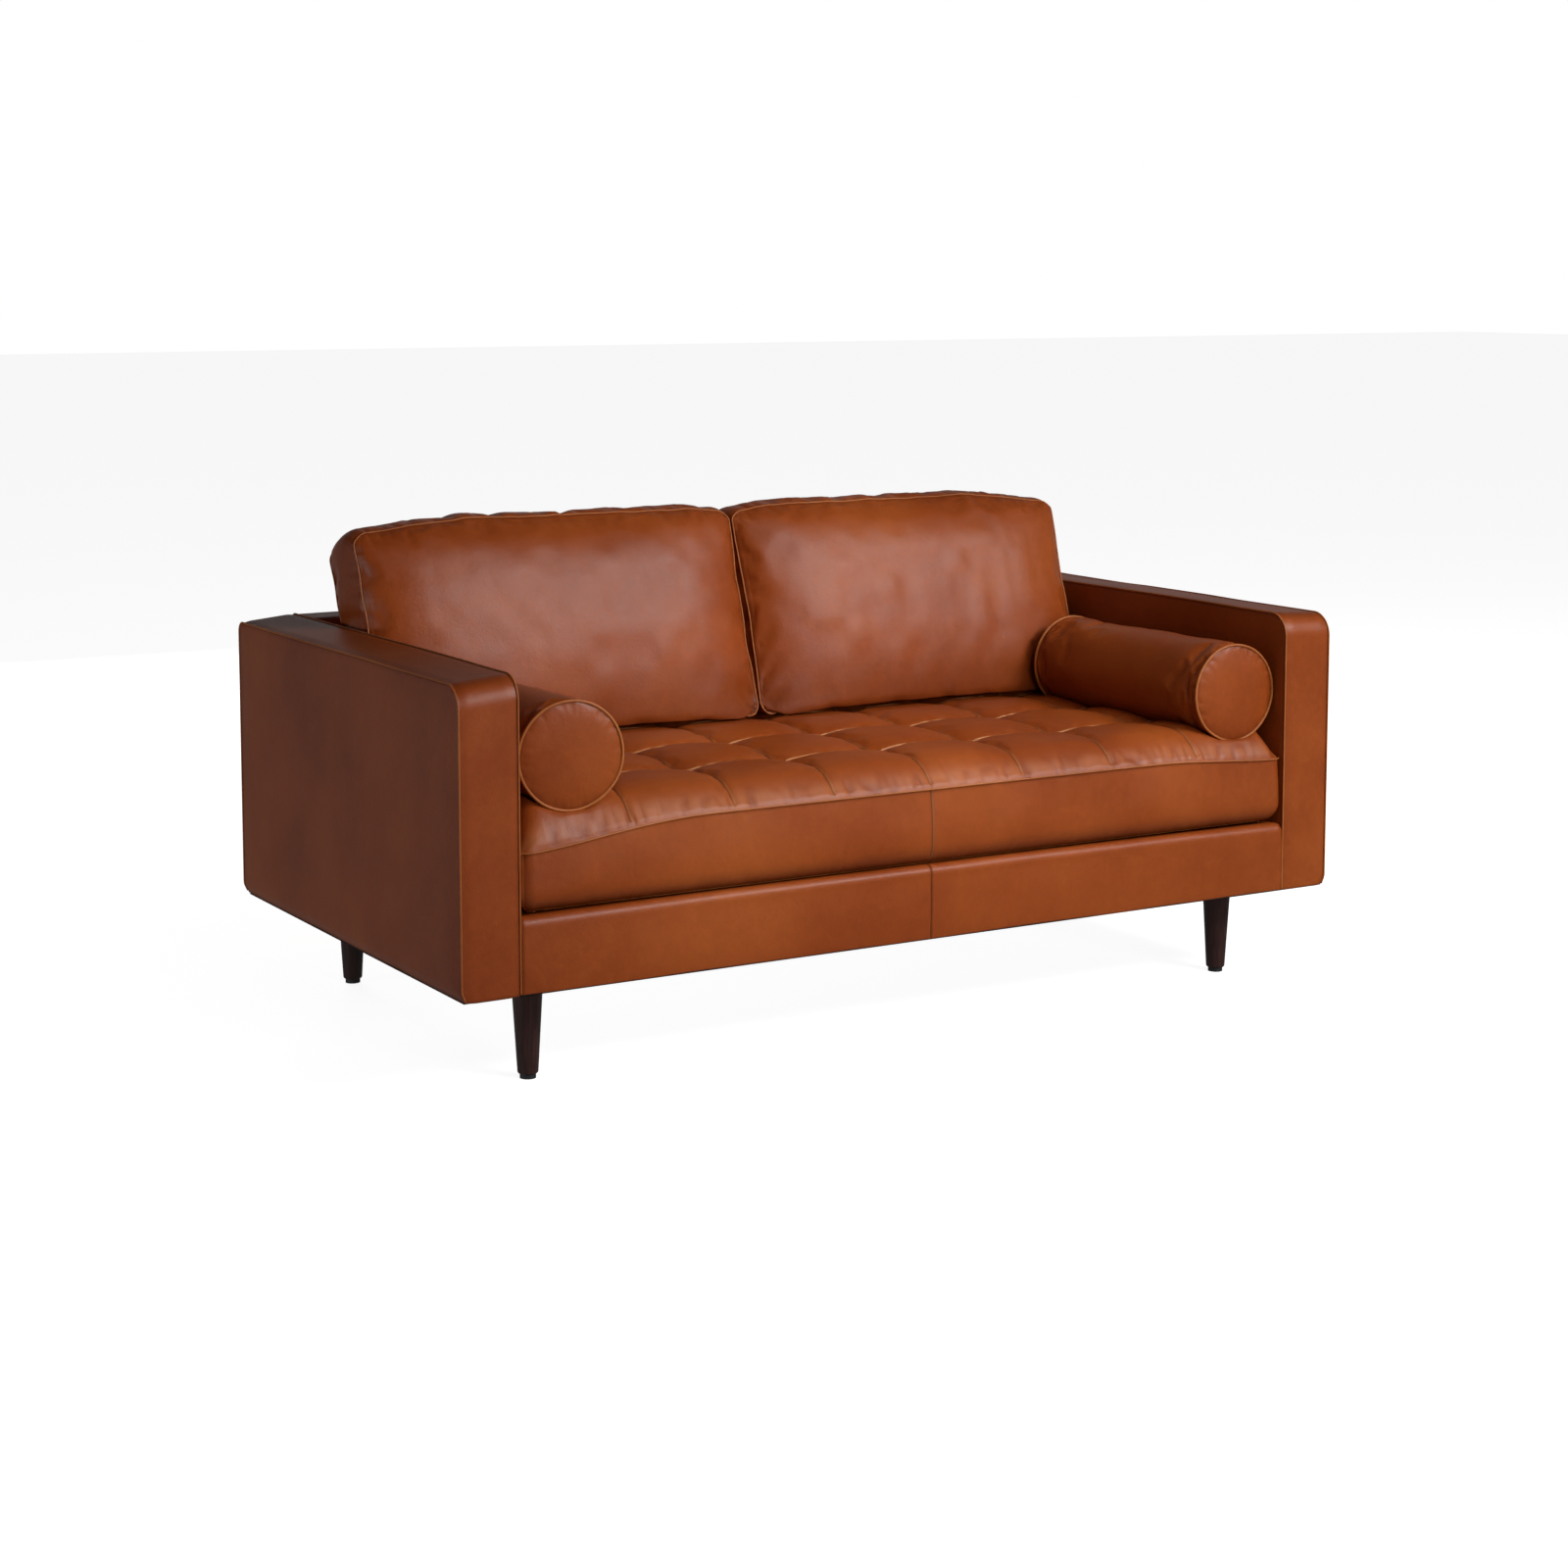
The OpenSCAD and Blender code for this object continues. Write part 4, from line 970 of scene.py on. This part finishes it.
def bolster(side, name, seed, skew):
    """Bolster on one side; skew is how far its front seam is turned out of square."""
    length = BOLSTER_HI.y - BOLSTER_LO.y - 2 * MM
    around, rings = BOLSTER_GRID
    angle = np.arange(around) * 2 * np.pi / around
    ys = lines(length, length / rings, 0.6)
    g, w = np.meshgrid(angle, ys, indexing="ij")
    d = np.minimum(w, length - w)
    ca, sa = np.cos(g) * 0.09, np.sin(g) * 0.09
    radius = BOLSTER_R - 1.2 * MM + 0.6 * MM * smooth(d, 0, 0.09)
    points = stack(ca, sa, w)
    radius += 1.1 * MM * noise(points, 0.085, seed) + 0.4 * MM * noise(points, 0.03, seed + 1)
    gathers = crease(g * BOLSTER_R, d * 0.25 + (w > length / 2) * 0.8, 0.019, seed + 2)
    radius -= gathered(1.6 * MM * gathers, d, 0.018, 0.004)
    slant = -skew * side * BOLSTER_R * np.cos(g) * (1 - smooth(w, 0, 0.12))
    axis = BOLSTER_X[side]
    body = stack(axis + radius * np.cos(g), BOLSTER_LO.y + 1 * MM + w + slant,
                 BOLSTER_Z + radius * np.sin(g))

    caps = []
    for end, out in ((0, -1), (len(ys) - 1, 1)):
        edge_r = radius[:, end]
        r = CAP_RINGS[None, :] * edge_r[:, None]
        rise = 7 * MM * (1 - CAP_RINGS[None, :] ** 3.0) ** 0.8
        inward = edge_r[:, None] - r
        puckers = crease(angle[:, None] * 0.09, inward * 0.5 + out, 0.010, seed + 3)
        rise = rise - gathered(2.3 * MM * puckers, inward, 0.009, 0.003)
        flat = stack(r * np.cos(angle)[:, None], r * np.sin(angle)[:, None])
        rise = rise + 0.9 * MM * noise2(flat[..., 0], flat[..., 1], 0.05, seed + 4) \
            * smooth(inward, 0, 0.02)
        middle_y = BOLSTER_LO.y + 1 * MM + ys[end]
        y = middle_y + CAP_RINGS[None, :] * slant[:, end][:, None] + out * rise
        caps.append(stack(axis + flat[..., 0], y, BOLSTER_Z + flat[..., 1]))

    body_moves, cap_moves = inflate_capped(body, caps, *BOLSTER_CLOTH)
    body = body + body_moves
    caps = [cap + 0.4 * moves for cap, moves in zip(caps, cap_moves)]
    across, up = body[..., 0] - axis, body[..., 2] - BOLSTER_Z
    radius = np.hypot(across, up)
    zip_band = np.exp(-(np.sin(g) * BOLSTER_R / (4.5 * MM)) ** 4) * (np.cos(g) > 0)
    zip_band = zip_band * smooth(d, 0.055, 0.062)
    kept = radius * (1 - zip_band) + (BOLSTER_R - 1.0 * MM) * zip_band
    kept = soft_min(kept, BOLSTER_R + 2.2 * MM, 1 * MM)
    floor = smooth(-np.sin(g), 0.35, 0.8)
    kept = kept * (1 - floor) + np.minimum(kept, BOLSTER_R) * floor
    body[..., 0] = axis + across * kept / radius
    body[..., 2] = BOLSTER_Z + up * kept / radius
    for part in (body, *caps):
        part[..., 0] = side * soft_min(part[..., 0], ARM_IN - 0.5 * MM, 1 * MM)

    # Painted shade beside the seams at both ends.
    painted_shade_caps = 0.85 * np.exp(-(1 - CAP_RINGS) * BOLSTER_R / (3.0 * MM))[None].repeat(around, 0)
    seam = np.concatenate([beside(d, 0.85).ravel(), painted_shade_caps.ravel(), painted_shade_caps.ravel()])
    piece = capped_mesh(name + "_leather", body, caps, TAN, {"seam": seam})
    leather_piece(piece, name, (name + "_cover", name + "_fill"))
    for label, end, out in (("front", 0, -1), ("rear", len(ys) - 1, 1)):
        path = smooth_path(body[:, end]) + np.array([0, out * 0.3 * MM, 0])
        path[:, 0] += side * 1.2 * MM * np.cos(angle)
        path[:, 2] += 1.2 * MM * np.sin(angle)
        piping(name, label, path, BOLSTER_CORD_R, name, sides=10)


# ---- Arms ----

ARM_GRID = (130, 74, 22)
ARM_CORNERS = (0.003, 0.003, 0.018, 0.042)


def tuck_under(height):
    """How far an arm's outer face turns in at its foot."""
    return 7 * MM * (1 - smooth(height, 0, 0.024)) ** 1.4


def arm(side, name, droop, seed):
    """Arm on one side; droop is how far the outer edge of its top sinks."""
    depth = ARM_HI.y - ARM_LO.y
    height = ARM_HI.z - ARM_LO.z
    width = ARM_HI.x - ARM_IN
    us = lines(depth, depth / ARM_GRID[0], 0.5)
    vs = lines(height, height / ARM_GRID[1], 0.5)
    gu, gv = np.meshgrid(us, vs, indexing="ij")
    u, v = round_corners(gu, gv, depth, height, ARM_CORNERS)
    lift = np.minimum(np.minimum(gu, depth - gu), np.minimum(gv, height - gv))
    wavy = (1.2 * noise2(u, v, 0.21, seed) + 0.5 * noise2(u, v, 0.08, seed + 1)) * MM
    rise = smooth(lift, 0, 0.05)
    outer = width + 2.2 * MM * rise + wavy * rise - 1.4 * MM * (1 - smooth(lift, 0, 0.009))
    outer -= edge_puckers(gu, gv, depth, height, seed + 10, 0.5 * MM, 0.05, 0.02)
    outer -= tuck_under(gv)
    inner = 0 * outer - 0.6 * MM * rise + 1.4 * MM * (1 - smooth(lift, 0, 0.009)) \
        + 0.3 * wavy * rise
    i, j = rim(*gu.shape)
    eu, ev = u[i, j], v[i, j]
    nu, nv = outward(eu, ev)
    s = run_length(stack(eu, ev))[:, None]
    ts = lines(1.0, 1 / ARM_GRID[2], 0.6)[None, :]
    across = 1.4 * MM + ts * (width - 2.8 * MM - tuck_under(ev)[:, None])
    d = np.minimum(ts, 1 - ts) * width
    free = 1 - smooth(-nv, 0.5, 0.9)[:, None]
    puff = 2.4 * MM * smooth(d, 0, 0.02) + 1.0 * MM * noise2(s, ts * 0.1, 0.12, seed + 2) \
        * smooth(d, 0, 0.03)
    puff = puff * free
    strip = stack(across, eu[:, None] + nu[:, None] * puff,
                  ev[:, None] + nv[:, None] * puff)
    inner_panel = stack(inner, u, v)
    outer_panel = stack(outer, u, v)

    def place(p):
        x, y, z = ARM_IN + p[..., 0], ARM_LO.y + p[..., 1], ARM_LO.z + p[..., 2]
        share = np.clip(p[..., 0] / width, 0, 1)
        high = smooth(z, ARM_LO.z + 0.36, ARM_HI.z)
        z = z - droop * share * high
        z = z + 1.2 * MM * noise2(y, x * 0.5, 0.14, seed + 3) * high
        low = 1 - smooth(z, ARM_LO.z, ARM_LO.z + 0.05)
        z = z + (1.3 * noise2(y, x, 0.09, seed + 4) + 0.8) * MM * low
        return stack(side * x, y, z)

    # Painted shade beside the seams, and painted shade that darkens the top of the arm's strip.
    painted_shade_panel = beside(lift, 0.8)
    painted_top_shade = smooth(nv, 0.6, 1.0)[:, None] * smooth(d, 0, 0.01)
    painted_shade_strip = beside(d, 0.8) + 0.42 * painted_top_shade
    inner_w, strip_w, outer_w = place(inner_panel), place(strip), place(outer_panel)
    piece = boxed_mesh(name + "_leather", inner_w, strip_w, outer_w, TAN,
                       {"seam": (painted_shade_panel, painted_shade_strip, painted_shade_panel)})
    leather_piece(piece, "frame", (name + "_cover", name + "_padding"))
    keep = (nv > -0.5)
    order = np.roll(np.arange(len(keep)), -int(np.argmax(~keep)))
    order = order[keep[order]]
    for label, panel, shift in (("inner", inner_w, -1), ("outer", outer_w, 1)):
        out = stack(side * shift * 0.5, nu, nv) * 0.7 * MM
        piping(name, label, (panel[i, j] + out)[order], ARM_CORD_R, "frame", closed=False)


# ---- Front rail and back ----

RAIL_D = 0.115


def rounded_outline(corners):
    """Closed outline through corners (y, z, radius), with 7 points on each round."""
    points = []
    count = len(corners)
    for k, (y, z, r) in enumerate(corners):
        here = np.array([y, z])
        ins = np.array(corners[k - 1][:2]) - here
        outs = np.array(corners[(k + 1) % count][:2]) - here
        ins, outs = ins / np.linalg.norm(ins), outs / np.linalg.norm(outs)
        centre = here + (ins + outs) * r
        for a in np.linspace(0, np.pi / 2, 7):
            points.append(centre - outs * r * math.cos(a) - ins * r * math.sin(a))
    return np.array(points)


def spread(outline, step):
    """The same closed outline with points at most step apart."""
    made = []
    for p, q in zip(outline, np.roll(outline, -1, 0)):
        n = max(1, math.ceil(np.linalg.norm(q - p) / step))
        made += [p + (q - p) * k / n for k in range(n)]
    return np.array(made)


def swept(name, outline, xs, shape, nodes):
    """Upholstered bar along X with a seam in its middle: an outline (y, z) pushed outward by
    shape(x, length along the outline, y, z, outward y, outward z)."""
    ny, nz = outward(outline[:, 0], outline[:, 1])
    from_middle = outline - outline.mean(0)
    if np.sum(from_middle[:, 0] * ny + from_middle[:, 1] * nz) < 0:
        ny, nz = -ny, -nz
    s = run_length(outline)
    x = xs[:, None]
    push = shape(x, s[None, :], outline[None, :, 0], outline[None, :, 1], ny[None], nz[None])
    points = stack(x, outline[None, :, 0] + ny * push,
                   outline[None, :, 1] + nz * push)
    index = np.arange(points.shape[0] * points.shape[1]).reshape(points.shape[:2])
    wrapped = np.hstack([index, index[:, :1]])
    faces = [*quads(wrapped), list(index[0]), list(index[-1])]
    # Painted shade along the groove of the middle seam.
    seam = bell(x, 1.3 * MM) * np.ones_like(push)
    piece = make_object(name, points.reshape(-1, 3), faces, TAN, {"seam": seam.ravel()})
    leather_piece(piece, "frame", nodes)


def bar_lines():
    """Lines along X from arm to arm, with extra ones at the seam in the middle."""
    half = ARM_IN - 0.4 * MM
    near = [0, 0.7, 1.4, 2.3, 3.5, 5, 7]
    xs = {*np.round(np.linspace(-half, half, 190), 5)}
    return np.array(sorted(xs | {round(k * MM * way, 5) for k in near for way in (1, -1)}))


def front_rail():
    low, high = RAIL_LO.z, RAIL_HI.z
    y0, y1 = RAIL_LO.y, RAIL_LO.y + RAIL_D
    outline = spread(rounded_outline([(y1, low, 0.002), (y0, low, 0.005), (y0, high, 0.017),
                                      (y1, high, 0.002)]), 6 * MM)

    def shape(x, s, y, z, ny, nz):
        face = smooth(-ny, 0.3, 0.9)
        across = np.clip((z - low) / (high - low), 0, 1)
        puff = 2.0 * MM * np.sin(np.pi * across) ** 0.7 * face
        puff = puff + (1.0 * noise2(x, s, 0.16, 50) + 0.5 * noise2(x, s, 0.06, 51)) * MM * face
        puff = puff - 1.6 * MM * bell(x, 2.2 * MM) * smooth(-ny + nz, 0.2, 0.6)
        puff = puff - 0.9 * MM * crease(x, s * 0.3, 0.03, 52) * np.exp(-np.abs(x) / 0.03) * face
        under = smooth(-nz, 0.3, 0.9)
        roll = smooth(nz, 0.0, 0.9) * (1 - smooth(y, y0 + 0.010, y0 + 0.044))
        puff = puff + (6 - 4 * (x / ARM_IN) ** 2) * MM * roll
        return puff + (1.5 * noise2(x, 0 * x, 0.10, 53) - 0.8) * MM * under

    swept("front_rail_leather", outline, bar_lines(), shape,
          ("front_rail_cover", "front_rail_padding"))


def back_frame():
    low, high = BACK_LO.z, BACK_HI.z
    y0, y1 = BACK_IN_Y, BACK_HI.y
    outline = spread(rounded_outline([(y1, low, 0.004), (y0, low, 0.004), (y0, high, 0.018),
                                      (y1, high, 0.018)]), 11 * MM)

    def shape(x, s, y, z, ny, nz):
        rear = smooth(ny, 0.3, 0.9)
        top = smooth(nz, 0.3, 0.9)
        across = np.clip((z - low) / (high - low), 0, 1)
        ends = smooth(ARM_IN - np.abs(x), 0, 0.06)
        puff = 2.5 * MM * np.sin(np.pi * across) ** 0.5 * rear * ends
        puff = puff + (1.3 * noise2(x, s, 0.20, 60) + 0.5 * noise2(x, s, 0.07, 61)) * MM \
            * (rear + 0.7 * top) * ends
        return puff - 2.2 * MM * bell(x, 2.6 * MM) * np.maximum(rear, top)

    swept("back_frame_leather", outline, bar_lines(), shape, ("back_cover", "back_padding"))


seat_cushion()
back_cushion(-1, "left_back_cushion", 100, 9 * MM)
back_cushion(1, "right_back_cushion", 200, 30 * MM)
bolster(-1, "left_bolster", 300, 0.10)
bolster(1, "right_bolster", 320, 0.0)
arm(-1, "left_arm", 11 * MM, 400)
arm(1, "right_arm", 5 * MM, 420)
front_rail()
back_frame()

# ---- Floor, light and camera ----

FLOOR_HALF = 40.0
FLOOR_GREY = 0.55
FLOOR_GLOW = 0.90
WORLD_GREYS = [(0.0, 0.145), (0.35, 0.050), (1.0, 0.025)]   # from the horizon up
GLOW_WAY = (0.50, 0.86, 0.08)                               # a paler patch behind the sofa
GLOW_GREYS = [(0.80, 0.0), (0.97, 0.22)]
CAMERA_PLACE = (-2.8396, -4.7703, 1.37)
CAMERA_PITCH, CAMERA_TURN = -0.1101, -0.5357
# Name, place, aim, size, watts, whether reflections show it, spread in degrees
LIGHTS = (("key", (2.4, -4.3, 3.65), (0, 0, 0.5), (2.3, 1.4), 220, True, 180),
          ("front", (0.2, -5.2, 1.3), (0, 0, 0.5), (3.0, 1.2), 80, False, 180),
          ("side", (-4.2, 0.2, 0.55), (-0.9, 0.0, 0.45), (2.2, 0.5), 24, True, 180),
          ("seat", (0.2, -1.3, 2.4), (0.1, -0.15, 0.45), (1.0, 0.5), 1.4, False, 40),
          ("rear", (0.3, 5.0, 1.3), (0, 0, 0.4), (3.0, 1.2), 70, False, 180))


def floor():
    material, _, shader = new_material("studio_floor")
    for key, value in (("Base Color", grey(FLOOR_GREY)), ("Roughness", 0.9),
                       ("Specular IOR Level", 0.0), ("Emission Color", grey(1.0)),
                       ("Emission Strength", FLOOR_GLOW)):
        shader.inputs[key].default_value = value
    corners = [(x * FLOOR_HALF, y * FLOOR_HALF, 0) for x, y in ((-1, -1), (1, -1), (1, 1), (-1, 1))]
    plane = make_object("studio_floor", corners, [(0, 1, 2, 3)], material, fix_normals=False)
    plane.visible_diffuse = plane.visible_glossy = plane.visible_shadow = False


def lights():
    for name, place, aim, size, power, glossy, spread_angle in LIGHTS:
        data = bpy.data.lights.new(name, "AREA")
        data.spread = math.radians(spread_angle)
        data.shape = "RECTANGLE"
        data.size, data.size_y = size
        data.energy = power
        light = linked(name, data)
        light.location = place
        light.visible_glossy = glossy
        light.rotation_euler = (Vector(aim) - Vector(place)).to_track_quat("-Z", "Y").to_euler()


def world():
    """White where the camera sees it, and a soft grey studio for light and reflections."""
    made = bpy.data.worlds.new("studio")
    made.use_nodes = True
    tree = made.node_tree
    shown = tree.nodes["Background"]
    shown.inputs["Color"].default_value = (1, 1, 1, 1)
    shown.inputs["Strength"].default_value = 1.0
    fill = tree.nodes.new("ShaderNodeBackground")
    way = tree.nodes.new("ShaderNodeTexCoord").outputs["Generated"]
    height = node(tree, "ShaderNodeSeparateXYZ")
    link(tree, way, height.inputs[0])
    toward = node(tree, "ShaderNodeVectorMath", operation="DOT_PRODUCT")
    toward.inputs[1].default_value = GLOW_WAY
    link(tree, way, toward.inputs[0])
    shades = blend_colour(tree, 1.0, ramp(tree, height.outputs["Z"], WORLD_GREYS),
                          ramp(tree, toward.outputs["Value"], GLOW_GREYS), "ADD")
    link(tree, shades, fill.inputs["Color"])
    path = tree.nodes.new("ShaderNodeLightPath")
    mix = tree.nodes.new("ShaderNodeMixShader")
    for source, socket in ((path.outputs["Is Camera Ray"], mix.inputs[0]),
                           (fill.outputs[0], mix.inputs[1]), (shown.outputs[0], mix.inputs[2]),
                           (mix.outputs[0], tree.nodes["World Output"].inputs["Surface"])):
        link(tree, source, socket)
    bpy.context.scene.world = made


def camera():
    data = bpy.data.cameras.new("camera")
    data.sensor_width = 36
    data.lens = 67.18
    data.shift_y = -0.125
    data.clip_end = 100
    cam = linked("camera", data)
    cam.location = CAMERA_PLACE
    cam.rotation_euler = Euler((math.pi / 2 + CAMERA_PITCH, 0, CAMERA_TURN))
    bpy.context.scene.camera = cam


floor()
world()
lights()
camera()
bpy.context.scene.view_settings.view_transform = "Standard"
